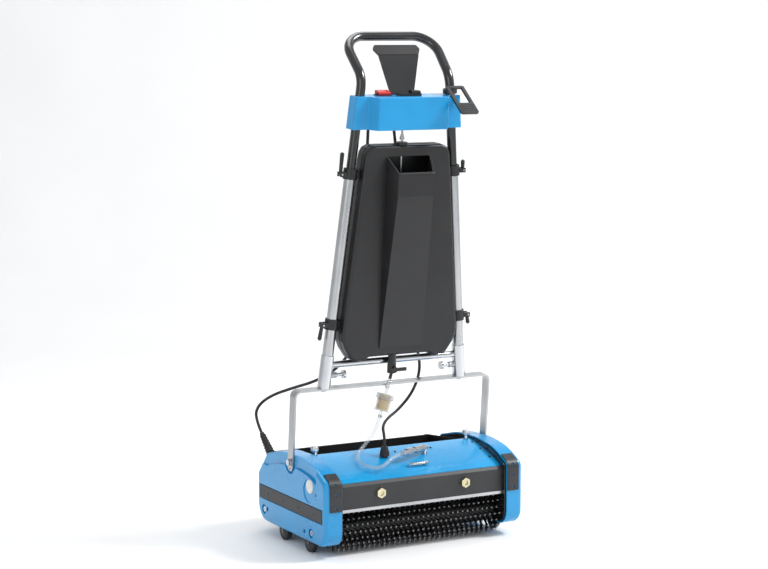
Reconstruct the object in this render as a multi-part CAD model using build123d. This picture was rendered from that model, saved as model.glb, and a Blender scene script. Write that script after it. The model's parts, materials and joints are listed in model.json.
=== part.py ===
"""Upright wet dry floor scrubber with two contra-rotating cylindrical brushes.

A low chassis carries the brushes, a transfer drum between them, the motor and a lift-out
recovery tank. A flat steel bail is bolted to its sides and carries two converging tubes with
the fresh-water tank, the control box and the grip. Millimetres, +Z up, floor at Z = 0,
brushes along X, the operator behind the machine at +Y.
"""

from build123d import *
from math import cos, pi, radians, sin, tan
import os

# ---------------------------------------------------------------- driving dimensions
HALF_WIDTH = 300.0            # centre to the outer face of a side cover
COVER_IN = 250.3              # centre to the open inner side of a side cover
PLATE_IN, PLATE_OUT = 246.0, 250.0
COVER_HOLLOW = 290.0          # inner face of the cover's outer wall
HALF_DEPTH = 201.0            # centre to the front or rear edge of a side cover
COVER_BOTTOM = 32.0
COVER_WALL = 4.0
RIM_ROUND = 11.0
SHOULDER, SHOULDER_DEEP = 33.0, 6.5    # recessed band under the covers' arch
BUMPER_Z0, BUMPER_Z1, BUMPER_DEEP = 94.0, 133.0, 4.5
BRUSH_Y, BRUSH_Z, BRUSH_R = 120.0, 64.0, 63.0
BRUSH_HALF, CORE_R, SHAFT_R, SHAFT_END = 243.0, 30.0, 8.0, 263.0
RUN_GAP = 0.05                # radial clearance of every shaft in its bore
DRUM_Z, DRUM_R = 62.0, 50.0
MOTOR_Y, MOTOR_Z, MOTOR_R, MOTOR_END = -75.0, 172.0, 42.0, -10.0
GEAR_TEETH, GEAR_MODULE = 16, 3.0
IDLER_Y = MOTOR_Y + GEAR_TEETH * GEAR_MODULE + 0.6
GEAR_LANE, BELT_LANE, DRUM_LANE = (-252.5, -259.5), (-261.0, -269.0), (-272.0, -280.0)
SMALL_PULLEY, DRUM_PULLEY, LARGE_PULLEY = 12.0, 16.0, 24.0
BELT_GAP, BELT_T = 0.3, 2.0
WHEEL_R, WHEEL_X0, WHEEL_X1, WHEEL_Z = 25.0, 273.0, 289.0, 25.0
WHEEL_Y = (-86.0, 65.0)
PIVOT_Z = 225.0               # height of the bail's pivot bolts
HANDLE_TILT = 5.14            # the parked handle leans this far forward of upright
BAIL_TOP, BAIL_WIDE, BAIL_T, BAIL_OUT, BAIL_FOOT = 195.5, 30.0, 5.0, 299.5, 24.0
TUBE_LOW_X, TUBE_TOP_X, TUBE_TOP_U = 208.0, 135.5, 968.0
TUBE_R, TUBE_BORE, INNER_R, INNER_BORE, SLEEVE_R = 15.0, 13.0, 12.5, 10.5, 17.5
SLEEVE_TOP, SILVER_TOP, BLACK_FOOT = 283.0, 770.0, 690.0
CLAMP_U = (765.0, 367.0)
PLUNGER_U = 228.0
LEVER_OUT = 29.0              # clamp-lever pivot beyond the tube axis
LEVER_LONG = {(-1, 1): 52.0, (-1, -1): 36.0, (1, 1): 22.0, (1, -1): 22.0}    # by side, and up or down
BOX_U0, BOX_U1 = 882.0, 968.0
GRIP_KNEE_U, GRIP_U, GRIP_V, GRIP_BEND = 1015.0, 1111.0, 110.0, 60.0
TANK_U0, TANK_U1, TANK_FRONT, TANK_BACK, TANK_WALL = 268.0, 840.0, -33.0, 15.0, 3.5
LIP_U, LIP_V, MOUTH_TOP_U = 772.0, -79.0, 812.0
HOPPER_BACK, HOPPER_LIP = 66.0, 53.0      # half-widths of the hopper at the tank and at its lip
OUTLET_X, OUTLET_V = -16.0, -20.0
BIN_Y0, BIN_Y1, BIN_Z0, BIN_HALF, BIN_WALL = 8.0, 236.0, 134.0, 244.5, 3.0
ROD_Y, ROD_Z = 222.0, 197.0     # carry rod of the recovery tank
CABLE_R, HOSE_R, CLIP_U, CABLE_V = 4.0, 5.0, 420.0, 24.0
FRAME_SHIFT_Y = -16.0          # puts the origin under the middle of the whole machine
CORNERS = ((HALF_DEPTH, COVER_BOTTOM, 50), (HALF_DEPTH, 163, 12), (150, 223, 14), (60, 245, 300),
           (-45, 248, 300), (-130, 237, 200), (-HALF_DEPTH, 203, 24),
           (-HALF_DEPTH, COVER_BOTTOM, 40))    # cover outline: y, z, round
BOOT_FOOT, BOOT_TIP = (-276, 157, 208.5), (-276, 221, 262)
PORT_X, PORT_Z, PORT_R, PORT_BORE_R, PORT_DEEP = -270.0, 146.0, 12.0, 6.0, 14.0
CAP_Y, CAP_Z, CAP_R = -118.0, 183.0, 18.0
BOSS_Y, BOSS_Z, BOSS_R = -108.0, 168.0, 30.0         # shallow round recess behind the cap
RECESSES = ((-120, 59, 13), (160, 66, 13))          # deep screw recesses: y, z, radius
SMALL_HOLES = ((-82, 57, 6), (139, 70, 6), (-149, 165, 3.5))
SHAFTS = ((-BRUSH_Y, BRUSH_Z), (BRUSH_Y, BRUSH_Z), (0, DRUM_Z))
SHEET = ((-172, 193), (-150, 204), (-110, 218), (-60, 231.5), (-10, 240))    # curved top: y, z
KNOB_X, KNOB_Y = 234.0, -14.0
GUARD_Y = -183.0              # front face of the folded guard
GUARD_LINE = [(GUARD_Y, 126), (GUARD_Y + 3, 126), (GUARD_Y + 3, 184), (GUARD_Y + 9.5, 190),
              (GUARD_Y + 7.5, 192.5), (GUARD_Y, 185.5)]
HEX_X, HEX_Z = 128.0, 161.0
COUPLING_IN, COUPLING_OUT = (65.0, -79.0, 243.0), (-28.0, -121.0, 243.0)
VALVE_U = 238.0
BOX_BACK, BOX_FRONT, BOX_FACE = 30.0, -22.0, -50.0
PADDLE_V, PADDLE_U, PADDLE_LEAN = 17.0, 962.0, 16.0
FLAP_PIN_U = BOX_U1 + 2.6
LEAD_X = (-94.0, 60.0)
LEAD_TOP_X = (-94.0, -18.0)

HANDLE = Pos(0, 0, PIVOT_Z) * Rot(X=HANDLE_TILT)
NODES = {}


# ---------------------------------------------------------------- helpers
def block(x0, x1, y0, y1, z0, z1):
    """Box between two corners."""
    return Pos((x0 + x1) / 2, (y0 + y1) / 2, (z0 + z1) / 2) * Box(abs(x1 - x0), abs(y1 - y0), abs(z1 - z0))


def rod(start, end, radius, end_radius=None):
    """Round bar between two points, tapered when an end radius is given."""
    a, b = Vector(*start), Vector(*end)
    plane = Plane(origin=(a + b) / 2, z_dir=b - a)
    if end_radius is None:
        return plane * Cylinder(radius, (b - a).length)
    return plane * Cone(radius, end_radius, (b - a).length)


def bar_x(x0, x1, y, z, radius):
    """Round bar along X."""
    return rod((min(x0, x1), y, z), (max(x0, x1), y, z), radius)


def bar_y(x, z, y0, y1, radius):
    """Round bar along Y."""
    return rod((x, y0, z), (x, y1, z), radius)


def ring_x(x0, x1, y, z, outer, inner):
    """Round ring along X."""
    return bar_x(x0, x1, y, z, outer) - bar_x(min(x0, x1) - 1, max(x0, x1) + 1, y, z, inner)


def prism_x(outline, x0, x1):
    """Closed (y, z) outline pushed along X from x0 to x1."""
    face = make_face(Polyline(*[(0, y, z) for y, z in outline], close=True))
    return Pos(x0, 0, 0) * extrude(face, x1 - x0, dir=(1, 0, 0))


def prism_y(outline, y0, y1):
    """Closed (x, z) outline pushed along Y from y0 to y1."""
    face = make_face(Polyline(*[(x, 0, z) for x, z in outline], close=True))
    return Pos(0, y0, 0) * extrude(face, y1 - y0, dir=(0, 1, 0))


def hex_bar(origin, direction, across, length):
    """Hexagonal head with its axis along a direction."""
    plane = Plane(origin=origin, z_dir=direction)
    return extrude(plane * RegularPolygon(across / 2, 6, major_radius=False), length)


def mirrored(shape):
    """The same shape on the other side of the machine."""
    return mirror(shape, about=Plane.YZ)


def group(shapes):
    """Separate solids kept in one node."""
    return Compound([solid for shape in shapes for solid in shape.solids()])


def both(*shapes):
    """Shapes and their mirror images, kept in one node."""
    return group([*shapes, *[mirrored(shape) for shape in shapes]])


def tube_x(u):
    """Distance of a handle tube's axis from the centre at height u above the pivot."""
    share = (u - BAIL_TOP) / (TUBE_TOP_U - BAIL_TOP)
    return TUBE_LOW_X + (TUBE_TOP_X - TUBE_LOW_X) * share


def on_tube(u0, u1, radius, side=-1):
    """Round bar on a handle tube's axis between two heights."""
    return rod((side * tube_x(u0), 0, u0), (side * tube_x(u1), 0, u1), radius)


def to_chassis(x, v, u):
    """Point of the handle frame in the chassis frame, with the handle parked."""
    turn = radians(HANDLE_TILT)
    return (x, v * cos(turn) - u * sin(turn), PIVOT_Z + v * sin(turn) + u * cos(turn))


def along(a, b, share):
    """Point on the line between two points."""
    return tuple(p + (q - p) * share for p, q in zip(a, b))


def cord(name, points, radius, bends):
    """Round cord through points, with one bend radius per corner; prints its length."""
    line = FilletPolyline(*points, radius=bends)
    tube = sweep(Plane(origin=line @ 0, z_dir=line % 0) * Circle(radius), path=line)
    print(name, "length", round(line.length, 1), "bends", [round(bend, 1) for bend in bends],
          "volume ratio", round(tube.volume / (pi * radius ** 2 * line.length), 4))
    return tube


def bend_radii(points):
    """Largest bend radius at each corner that still leaves a tenth of the shorter run free."""
    radii = []
    for before, corner, after in zip(points, points[1:], points[2:]):
        a, b = Vector(*corner) - Vector(*before), Vector(*after) - Vector(*corner)
        turn = radians(a.get_angle(b))
        radii.append(0.45 * min(a.length, b.length) / tan(turn / 2))
    return radii


def base(name, shape, place=Location()):
    """Keeps a node modelled in the chassis frame."""
    where = Pos(0, FRAME_SHIFT_Y, 0) * place
    solids = [where * solid for solid in shape.solids()]
    NODES[name] = solids[0] if len(solids) == 1 else Compound(solids)


def handle(name, shape):
    """Keeps a node modelled in the handle frame: origin at the pivot, Z up the handle."""
    base(name, shape, HANDLE)


# ---------------------------------------------------------------- routes of the hoses and cables
FILTER_FOOT, VALVE_ELBOW = (-49.0, -40.0, 339.0), to_chassis(OUTLET_X, OUTLET_V, 224.0)
FILTER_TOP, BARB_END = along(FILTER_FOOT, VALVE_ELBOW, 0.6), along(FILTER_FOOT, VALVE_ELBOW, 0.86)
MOTOR_CABLE = [to_chassis(LEAD_X[0], CABLE_V, CLIP_U - 8), to_chassis(LEAD_X[0], CABLE_V, CLIP_U - 80),
               (-104, 22, 505), (-125, 68, 450), (-160, 122, 412), (-206, 178, 388), (-250, 228, 362),
               (-275, 262, 325), along(BOOT_FOOT, BOOT_TIP, 1.5), BOOT_TIP]
CONTROL_CABLE = [to_chassis(LEAD_X[1], CABLE_V, CLIP_U - 8), to_chassis(LEAD_X[1], CABLE_V, CLIP_U - 78),
                 (92, 8, 500), (110, 22, 437), (88, 24, 378), (38, 14, 335), (-14, -12, 318), (-50, -52, 306),
                 (-55, -73, 284), (-55, -73, 257)]
HOSE = [FILTER_FOOT, along(VALVE_ELBOW, FILTER_FOOT, 1.38), (-97, -44, 262), (-140, -70, 240),
        (-152, -122, 226), (-116, -160, 216), along(COUPLING_IN, COUPLING_OUT, 1.38), COUPLING_OUT]


# ---------------------------------------------------------------- side covers and plates
def cover_face(inset=0.0):
    """Side-cover outline drawn in by a distance, with Y as the sketch's X and Z as its Y."""
    face = make_face(Polyline(*[(y, z) for y, z, _ in CORNERS], close=True))
    for y, z, turn in CORNERS:
        corner = face.vertices().sort_by_distance(Vector(y, z, 0))[0]
        face = fillet(corner, turn)
    return offset(face, amount=-inset) if inset else face


def cover_slab(inset, x0, x1):
    """Cover outline pushed from x0 to x1."""
    return Pos(x0, 0, 0) * extrude(Plane.YZ * cover_face(inset), x1 - x0)


def side_cover():
    """Left moulded side cover: a shell open on its inner side."""
    cover = cover_slab(0, -HALF_WIDTH, -COVER_IN)
    cover = fillet([e for e in cover.edges() if abs(e.center().X + HALF_WIDTH) < 0.01], RIM_ROUND)
    cover -= cover_slab(COVER_WALL, -COVER_HOLLOW, -COVER_IN + 1)
    band = cover_slab(-1, -HALF_WIDTH - 1, -HALF_WIDTH + SHOULDER_DEEP) - cover_slab(SHOULDER, -310, -280)
    cover -= band & block(-310, -280, -150, 190, 190, 260)
    cover -= bar_x(-HALF_WIDTH - 1, -HALF_WIDTH + SHOULDER_DEEP, 0, PIVOT_Z, 31)
    cover -= block(-HALF_WIDTH - 1, -HALF_WIDTH + BUMPER_DEEP, -186, 189, BUMPER_Z0, BUMPER_Z1)
    for y, z, radius in RECESSES:
        cover -= bar_x(-HALF_WIDTH - 1, -HALF_WIDTH + 6, y, z, radius)
        cover -= bar_x(-HALF_WIDTH, -COVER_HOLLOW + 1, y, z, 4)
    for y, z, radius in SMALL_HOLES:
        cover -= bar_x(-HALF_WIDTH - 1, -HALF_WIDTH + 6, y, z, radius)
    cover -= bar_x(-HALF_WIDTH - 1, -HALF_WIDTH + 2, BOSS_Y, BOSS_Z, BOSS_R)
    cover -= bar_x(-HALF_WIDTH - 1, -HALF_WIDTH + 6, CAP_Y, CAP_Z, CAP_R)
    cover -= bar_x(-HALF_WIDTH - 1, -COVER_HOLLOW + 1, 0, PIVOT_Z, 6.3)
    for y in WHEEL_Y:
        cover -= block(-COVER_HOLLOW, -266, y - 28, y + 28, COVER_BOTTOM - 1, COVER_BOTTOM + COVER_WALL + 1)
    return cover


def left_cover(cover):
    """The left cover also seats the cable boot and the round side port."""
    cover -= rod(BOOT_FOOT, BOOT_TIP, 11)
    return cover - bar_y(PORT_X, PORT_Z, HALF_DEPTH - COVER_WALL - 1, HALF_DEPTH + 1, PORT_R - 2)


def side_port():
    """Round blind socket on the rear edge of the left cover."""
    body = bar_y(PORT_X, PORT_Z, HALF_DEPTH - PORT_DEEP - 3, HALF_DEPTH, PORT_R - 2)
    body += bar_y(PORT_X, PORT_Z, HALF_DEPTH, HALF_DEPTH + 2.5, PORT_R)
    return body - bar_y(PORT_X, PORT_Z, HALF_DEPTH + 2.5 - PORT_DEEP, HALF_DEPTH + 4, PORT_BORE_R)


def side_plate():
    """Left steel side plate behind the cover."""
    plate = cover_slab(COVER_WALL + 1.5, -PLATE_OUT, -PLATE_IN)
    for y, z in (*SHAFTS, (MOTOR_Y, MOTOR_Z)):
        plate -= bar_x(-PLATE_OUT - 1, -PLATE_IN + 1, y, z, 12)
    return plate


def cross_rails():
    """Rails between the side plates and the ledges that carry the recovery tank."""
    front = block(-PLATE_IN, PLATE_IN, -150, -138, 140, 150)
    middle = block(-PLATE_IN, PLATE_IN, -16, -6, 150, 170)
    upper = block(-PLATE_IN, PLATE_IN, -20, -8, 225, 236)
    ledge = block(-PLATE_IN, -PLATE_IN + 10, 20, 185, 129, 133.8)
    return group([front, middle, upper, *both(ledge).solids()])


def bearing_blocks():
    """Flanged bearing blocks on the outer faces of both plates."""
    return both(*[ring_x(-PLATE_OUT - 9.5, -PLATE_OUT, y, z, 16, SHAFT_R + RUN_GAP) for y, z in SHAFTS])


def top_cover():
    """Curved painted cover between the side plates, with its gland, water and knob holes."""
    top = Spline(*[(0, y, z) for y, z in SHEET])
    low = Spline(*[(0, y, z - 2) for y, z in SHEET])
    face = make_face([top, Line(top @ 1, low @ 1), low, Line(low @ 0, top @ 0)])
    sheet = Pos(-PLATE_IN, 0, 0) * extrude(face, 2 * PLATE_IN, dir=(1, 0, 0))
    sheet -= rod((-55, -73, 200), (-55, -73, 260), 9)
    sheet -= rod((65, -79, 200), (65, -79, 260), 6.5)
    for side in (-1, 1):
        sheet -= rod((side * KNOB_X, KNOB_Y, 220), (side * KNOB_X, KNOB_Y, 260), 4.2)
    return sheet


def front_guard():
    """Folded dark guard in front of the front brush."""
    guard = prism_x(GUARD_LINE, -PLATE_IN, PLATE_IN)
    for side in (-1, 1):
        guard -= bar_y(side * HEX_X, HEX_Z, GUARD_Y - 9, GUARD_Y + 11, 5)
    return guard


def hex_nuts():
    """Two hexagonal stand-offs on the front guard."""
    nuts = []
    for side in (-1, 1):
        nut = hex_bar((side * HEX_X, GUARD_Y, HEX_Z), (0, -1, 0), 24, 8)
        nut -= bar_y(side * HEX_X, HEX_Z, GUARD_Y - 9, GUARD_Y - 4, 7)
        nuts.append(nut + bar_y(side * HEX_X, HEX_Z, GUARD_Y, GUARD_Y + 9, 5))
    return group(nuts)


def corner_bracket():
    """Left front corner bracket that wraps the front of the cover and its top edge."""
    strip = cover_slab(-3, -286, -252) - cover_slab(0, -287, -251)
    strip = strip & block(-300, -240, -210, -168, 128, 260)
    for z in (138, 172, 200):
        strip -= bar_y(-269, z, -210, -195, 3)
    return strip


def bumper_strip():
    """Left rubber bumper strip in its channel."""
    strip = block(-HALF_WIDTH - 0.8, -HALF_WIDTH + BUMPER_DEEP, -183, 184, BUMPER_Z0 + 1.5, BUMPER_Z1 - 1.5)
    strip = fillet([e for e in strip.edges() if abs(e.center().X + HALF_WIDTH + 0.8) < 0.01], 2)
    for y in (-140, -50, 40, 130):
        strip -= bar_x(-HALF_WIDTH - 2, -HALF_WIDTH + 3, y, (BUMPER_Z0 + BUMPER_Z1) / 2, 2.2)
    return strip


def cover_screws():
    """Socket screws sunk in the side covers."""
    screws = []
    for y, z, _ in RECESSES:
        screw = bar_x(-HALF_WIDTH + 2, -HALF_WIDTH + 6, y, z, 7)
        screw += bar_x(-HALF_WIDTH + 5, -COVER_HOLLOW, y, z, 3.7)
        screws.append(screw - hex_bar((-HALF_WIDTH + 1, y, z), (1, 0, 0), 5, 3.5))
    return both(*screws)


# ---------------------------------------------------------------- drive
def gear(x0, x1, y, z, turn):
    """Spur gear with straight-flanked teeth and its axis along X."""
    pitch = GEAR_TEETH * GEAR_MODULE / 2
    root, tip = pitch - 1.2 * GEAR_MODULE, pitch + 0.9 * GEAR_MODULE
    points = []
    for tooth in range(GEAR_TEETH):
        middle = 360 / GEAR_TEETH * tooth + turn
        for radius, half in ((root, -6.6), (tip, -2.4), (tip, 2.4), (root, 6.6)):
            a = radians(middle + half)
            points.append((y + radius * cos(a), z + radius * sin(a)))
    return prism_x(points, x0, x1)


def pulley(lane, y, z, radius):
    """Flat belt pulley in a lane."""
    return bar_x(lane[0], lane[1], y, z, radius)


def belt(lane, first, second):
    """Closed belt round two pulleys, each given as (y, z, radius)."""
    loops = []
    for grow in (BELT_GAP + BELT_T, BELT_GAP):
        circles = [Pos(y, z) * Circle(radius + grow) for y, z, radius in (first, second)]
        hull = make_hull([*circles[0].edges(), *circles[1].edges()])
        loops.append(Pos(min(lane) + 0.5, 0, 0) * extrude(Plane.YZ * hull, abs(lane[1] - lane[0]) - 1))
    return loops[0] - loops[1]


def motor_housing():
    """Motor body between the left plate and its rear bearing."""
    body = bar_x(-PLATE_IN, MOTOR_END, MOTOR_Y, MOTOR_Z, MOTOR_R)
    body = chamfer([e for e in body.edges() if abs(e.center().X - MOTOR_END) < 0.01], 6)
    body += block(-150, -90, MOTOR_Y - 14, MOTOR_Y + 14, MOTOR_Z + 30, MOTOR_Z + 44)
    return body - bar_x(-PLATE_IN - 1, -PLATE_IN + 20, MOTOR_Y, MOTOR_Z, SHAFT_R + RUN_GAP)


def motor_rotor():
    """Motor shaft with its pinion and pulley."""
    shaft = bar_x(-PLATE_IN + 19, BELT_LANE[1] - 1, MOTOR_Y, MOTOR_Z, SHAFT_R)
    shaft += gear(*reversed(GEAR_LANE), MOTOR_Y, MOTOR_Z, 0)
    return shaft + pulley(BELT_LANE, MOTOR_Y, MOTOR_Z, SMALL_PULLEY)


def idler_axle():
    """Stub axle of the idler, fixed to the left plate."""
    return bar_x(-PLATE_OUT, -283.5, IDLER_Y, MOTOR_Z, SHAFT_R) + bar_x(-281, -283.5, IDLER_Y, MOTOR_Z, 11)


def idler():
    """Reversing idler: gear and two pulleys on the stub axle."""
    body = gear(*reversed(GEAR_LANE), IDLER_Y, MOTOR_Z, 180 / GEAR_TEETH)
    body += bar_x(GEAR_LANE[0], DRUM_LANE[1], IDLER_Y, MOTOR_Z, SMALL_PULLEY)
    return body - bar_x(-250, -285, IDLER_Y, MOTOR_Z, SHAFT_R + RUN_GAP)


def roller_core(y, z, radius, left_end):
    """Roller with its shaft through both bearing blocks."""
    return bar_x(-BRUSH_HALF, BRUSH_HALF, y, z, radius) + bar_x(left_end, SHAFT_END, y, z, SHAFT_R)


def bristles(y):
    """Bristle field as a plain sleeve round the brush core."""
    return ring_x(-BRUSH_HALF + 1, BRUSH_HALF - 1, y, BRUSH_Z, BRUSH_R, CORE_R)


# ---------------------------------------------------------------- running gear
def wheel_carriers():
    """Four cantilever carriers bolted to the side plates, each with its fixed axle."""
    parts = []
    for y in WHEEL_Y:
        arm = block(-272, -PLATE_OUT, y - 6, y + 14, 52, 60)
        arm += block(-272, -270, y - 8, y + 14, 17, 60)
        arm += bar_x(-WHEEL_X1 - 0.5, -271, y, WHEEL_Z, 4)
        arm += bar_x(-WHEEL_X1 - 0.4, -WHEEL_X1 - 2.5, y, WHEEL_Z, 6)
        parts.append(arm)
    return both(*parts)


def wheel(side, y):
    """Small solid wheel with a running bore."""
    body = ring_x(side * WHEEL_X0, side * WHEEL_X1, y, WHEEL_Z, WHEEL_R, 4 + RUN_GAP)
    rims = [e for e in body.edges() if e.geom_type == GeomType.CIRCLE and abs(e.radius - WHEEL_R) < 0.01]
    return fillet(rims, 2.5)


# ---------------------------------------------------------------- water and waste
def recovery_tank():
    """Open-topped recovery tank that lifts out at the rear."""
    side = [(BIN_Y0, BIN_Z0), (BIN_Y1 - 12, BIN_Z0), (BIN_Y1, BIN_Z0 + 14), (BIN_Y1, 198), (BIN_Y1 - 14, 211),
            (150, 218), (BIN_Y0, 232)]
    inner = [(BIN_Y0 + 3, BIN_Z0 + 3), (178, BIN_Z0 + 3), (196, BIN_Z0 + 20), (205, 260), (BIN_Y0 + 3, 260)]
    body = prism_x(side, -BIN_HALF, BIN_HALF)
    body -= prism_x(inner, -BIN_HALF + BIN_WALL, BIN_HALF - BIN_WALL)
    panel = prism_x([(200, 143), (BIN_Y1 + 5, 143), (BIN_Y1 + 5, 260), (209, 260), (209, 190), (200, 170)],
                    -BIN_HALF + 5, BIN_HALF - 5)
    return body - panel


def carry_rod():
    """Bright rod between the recovery tank's side flanges."""
    return bar_x(-BIN_HALF + 5, BIN_HALF - 5, ROD_Y, ROD_Z, 6)


def rod_screws():
    """Button screws at the ends of the carry rod."""
    return both(bar_x(-BIN_HALF - 0.9, -BIN_HALF, ROD_Y, ROD_Z, 8))


def rear_lip():
    """Light flexible lip along the tank's lower rear edge."""
    return block(-BIN_HALF + 5, BIN_HALF - 5, 209, 226, BIN_Z0 - 3, BIN_Z0)


def spray_bar():
    """Water riser below the inlet and the bar over the front brush."""
    bar = bar_x(-200, 200, -142, 168, 5.5)
    riser = rod((65, -79, 168), (65, -79, 236), 5) + Pos(65, -79, 168) * Sphere(5.2)
    return bar + riser + rod((65, -79, 168), (65, -142, 168), 5)


def coupling():
    """Bright quick coupling lying over the top cover."""
    a, b = Vector(*COUPLING_IN), Vector(*COUPLING_OUT)
    step = b - a
    body = rod(a, a + step * 0.45, 9) + rod(a + step * 0.45, a + step * 0.6, 7)
    body += rod(a + step * 0.6, a + step * 0.82, 10.5) + rod(a + step * 0.82, b, 6.5)
    return body + rod((65, -79, 236), (65, -79, 248), 9)


def cable_gland():
    """Strain-relief gland on the top cover."""
    body = rod((-55, -73, 218), (-55, -73, 235), 8.5) + hex_bar((-55, -73, 232), (0, 0, 1), 26, 9)
    return body + rod((-55, -73, 241), (-55, -73, 257), 12, 8)


def cable_boot():
    """Tapered boot where the motor cable enters the left cover."""
    return rod(BOOT_FOOT, BOOT_TIP, 11, 6.5)


def thumb_knobs():
    """Bright knobs that hold the top cover's rear edge."""
    stem = rod((-KNOB_X, KNOB_Y, 236), (-KNOB_X, KNOB_Y, 242), 4)
    collar = rod((-KNOB_X, KNOB_Y, 241), (-KNOB_X, KNOB_Y, 249), 7)
    head = fillet((rod((-KNOB_X, KNOB_Y, 249), (-KNOB_X, KNOB_Y, 265), 10)).edges(), 3)
    return both(stem + collar + head)


# ---------------------------------------------------------------- handle frame
def bail():
    """Flat steel bail, pivoted on the chassis."""
    outer = [(-BAIL_OUT, -BAIL_FOOT), (BAIL_OUT, -BAIL_FOOT), (BAIL_OUT, BAIL_TOP), (-BAIL_OUT, BAIL_TOP)]
    inside = BAIL_OUT - BAIL_T
    low, high = -BAIL_FOOT - 1, BAIL_TOP - BAIL_T
    inner = [(-inside, low), (inside, low), (inside, high), (-inside, high)]
    half = BAIL_WIDE / 2
    shell = prism_y(outer, -half, half)
    shell = fillet([e for e in shell.edges().filter_by(Axis.Y) if e.center().Z > 100], 19)
    void = prism_y(inner, -half - 1, half + 1)
    shell -= fillet([e for e in void.edges().filter_by(Axis.Y) if e.center().Z > 100], 14)
    foot = block(-310, 310, -half - 1, half + 1, -BAIL_FOOT - 2, -BAIL_FOOT + half)
    shell -= foot - bar_x(-311, 311, 0, -BAIL_FOOT + half, half)
    shell -= bar_x(-310, 310, 0, 0, 6 + RUN_GAP)
    return shell - bar_x(-310, 310, 0, -18, 2.5)


def pivot_bolts():
    """Shouldered hex bolts that carry the bail, fixed to the side plates."""
    bolt = bar_x(-PLATE_OUT, -BAIL_OUT - 0.6, 0, PIVOT_Z, 6)
    bolt += bar_x(-BAIL_OUT - 0.6, -BAIL_OUT - 2, 0, PIVOT_Z, 10)
    return both(bolt + hex_bar((-BAIL_OUT - 2, 0, PIVOT_Z), (-1, 0, 0), 16, 6))


def above(shape, u):
    """Cuts a shape off below a height on the handle."""
    return shape - block(-400, 400, -100, 100, u - 60, u)


def tube_sockets():
    """Bright sleeves on the bail that take the handle tubes."""
    sleeve = above(on_tube(185, SLEEVE_TOP, SLEEVE_R), BAIL_TOP) - on_tube(180, SLEEVE_TOP + 5, TUBE_R)
    return both(sleeve - plunger_bore())


def plunger_bore(side=-1):
    """Hole through a sleeve and its tube for the plunger pin."""
    return bar_x(side * (tube_x(PLUNGER_U) - 2), side * 150, 0, PLUNGER_U, 4 + RUN_GAP)


def handle_tube(side):
    """Bright handle tube of one side."""
    tube = on_tube(BAIL_TOP + 4, SILVER_TOP, TUBE_R, side)
    tube -= on_tube(BAIL_TOP, SILVER_TOP + 5, TUBE_BORE, side)
    return tube - plunger_bore(side)


def bail_bolts():
    """Hex screws under the bail's top bar, one below each socket."""
    low = BAIL_TOP - BAIL_T
    return both(hex_bar((-TUBE_LOW_X, 0, low), (0, 0, -1), 13, 5))


def plunger_barrels():
    """Fixed barrels of the two index plungers."""
    barrel = bar_x(-196, -173, 0, PLUNGER_U, 8) - on_tube(150, 320, SLEEVE_R)
    return both(barrel - bar_x(-200, -160, 0, PLUNGER_U, 4 + RUN_GAP))


def plunger(side):
    """Index plunger: knob and pin, pulled towards the centre of the machine."""
    pin = bar_x(side * 170, side * 196, 0, PLUNGER_U, 4)
    stem = bar_x(side * 150, side * 172.6, 0, PLUNGER_U, 5)
    return pin + stem + bar_x(side * 147, side * 154, 0, PLUNGER_U, 11)


def tank_support_bar():
    """Round bar between the sockets, below the fresh-water tank."""
    bar = bar_x(-195, 195, 2, 256, 9)
    return bar - on_tube(180, 320, SLEEVE_R) - on_tube(180, 320, SLEEVE_R, 1)


def clamp_collars():
    """Split collars on the tubes, with a lug that grips the tank and a fork for the lever."""
    parts = []
    for u in CLAMP_U:
        collar = on_tube(u - 14, u + 14, TUBE_R + 4)
        x = tube_x(u)
        collar += block(-x, -x + TUBE_R + 3.5, -14, 10, u - 9, u + 9)
        collar += block(-x - LEVER_OUT - 5, -x - TUBE_R, -13, -8, u - 6, u + 6)
        collar += block(-x - LEVER_OUT - 5, -x - TUBE_R, 3, 8, u - 6, u + 6)
        collar -= on_tube(u - 30, u + 30, TUBE_R)
        parts.append(collar - bar_y(-x - LEVER_OUT, u, -20, 20, 2.5))
    return both(*parts)


def clamp_pins():
    """Cross pins of the clamp levers."""
    return both(*[bar_y(-tube_x(u) - LEVER_OUT, u, -13, 8, 2.5) for u in CLAMP_U])


def clamp_lever(side, u, upward):
    """Quick-release lever lying along a tube, on its outer side."""
    tip_u = u + upward * LEVER_LONG[side, upward]
    pivot, tip = tube_x(u) + LEVER_OUT, tube_x(tip_u) + LEVER_OUT + 3
    arm = rod((-pivot - 1, -2.5, u + upward * 4), (-tip, -2.5, tip_u), 4.6, 5.6)
    arm += Pos(-tip, -2.5, tip_u) * Sphere(5.6)
    lever = arm + bar_y(-pivot, u, -7.5, 2.5, 5.5) - bar_y(-pivot, u, -20, 20, 2.5 + RUN_GAP)
    return lever if side < 0 else mirrored(lever)


# ---------------------------------------------------------------- fresh-water tank
def tank_outline(inset):
    """Front view of the tank, drawn in by a distance."""
    half = [(0, TANK_U1), (102, TANK_U1), (116, TANK_U1 - 6), (125, TANK_U1 - 20), (128, TANK_U1 - 38),
            (174, 345), (172, 322), (163, 300), (146, TANK_U0 + 8), (138, TANK_U0), (100, TANK_U0),
            (93, TANK_U0 + 8), (0, TANK_U0 + 8)]
    points = half + [(-x, u) for x, u in reversed(half[1:-1])]
    face = make_face(Polyline(*points, close=True))
    return offset(face, amount=-inset) if inset else face


def tank_solid(inset, front, back):
    """Tank body between two depths."""
    face = Plane.XZ * tank_outline(inset)
    return Pos(0, front, 0) * extrude(face, back - front, dir=(0, 1, 0))


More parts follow.
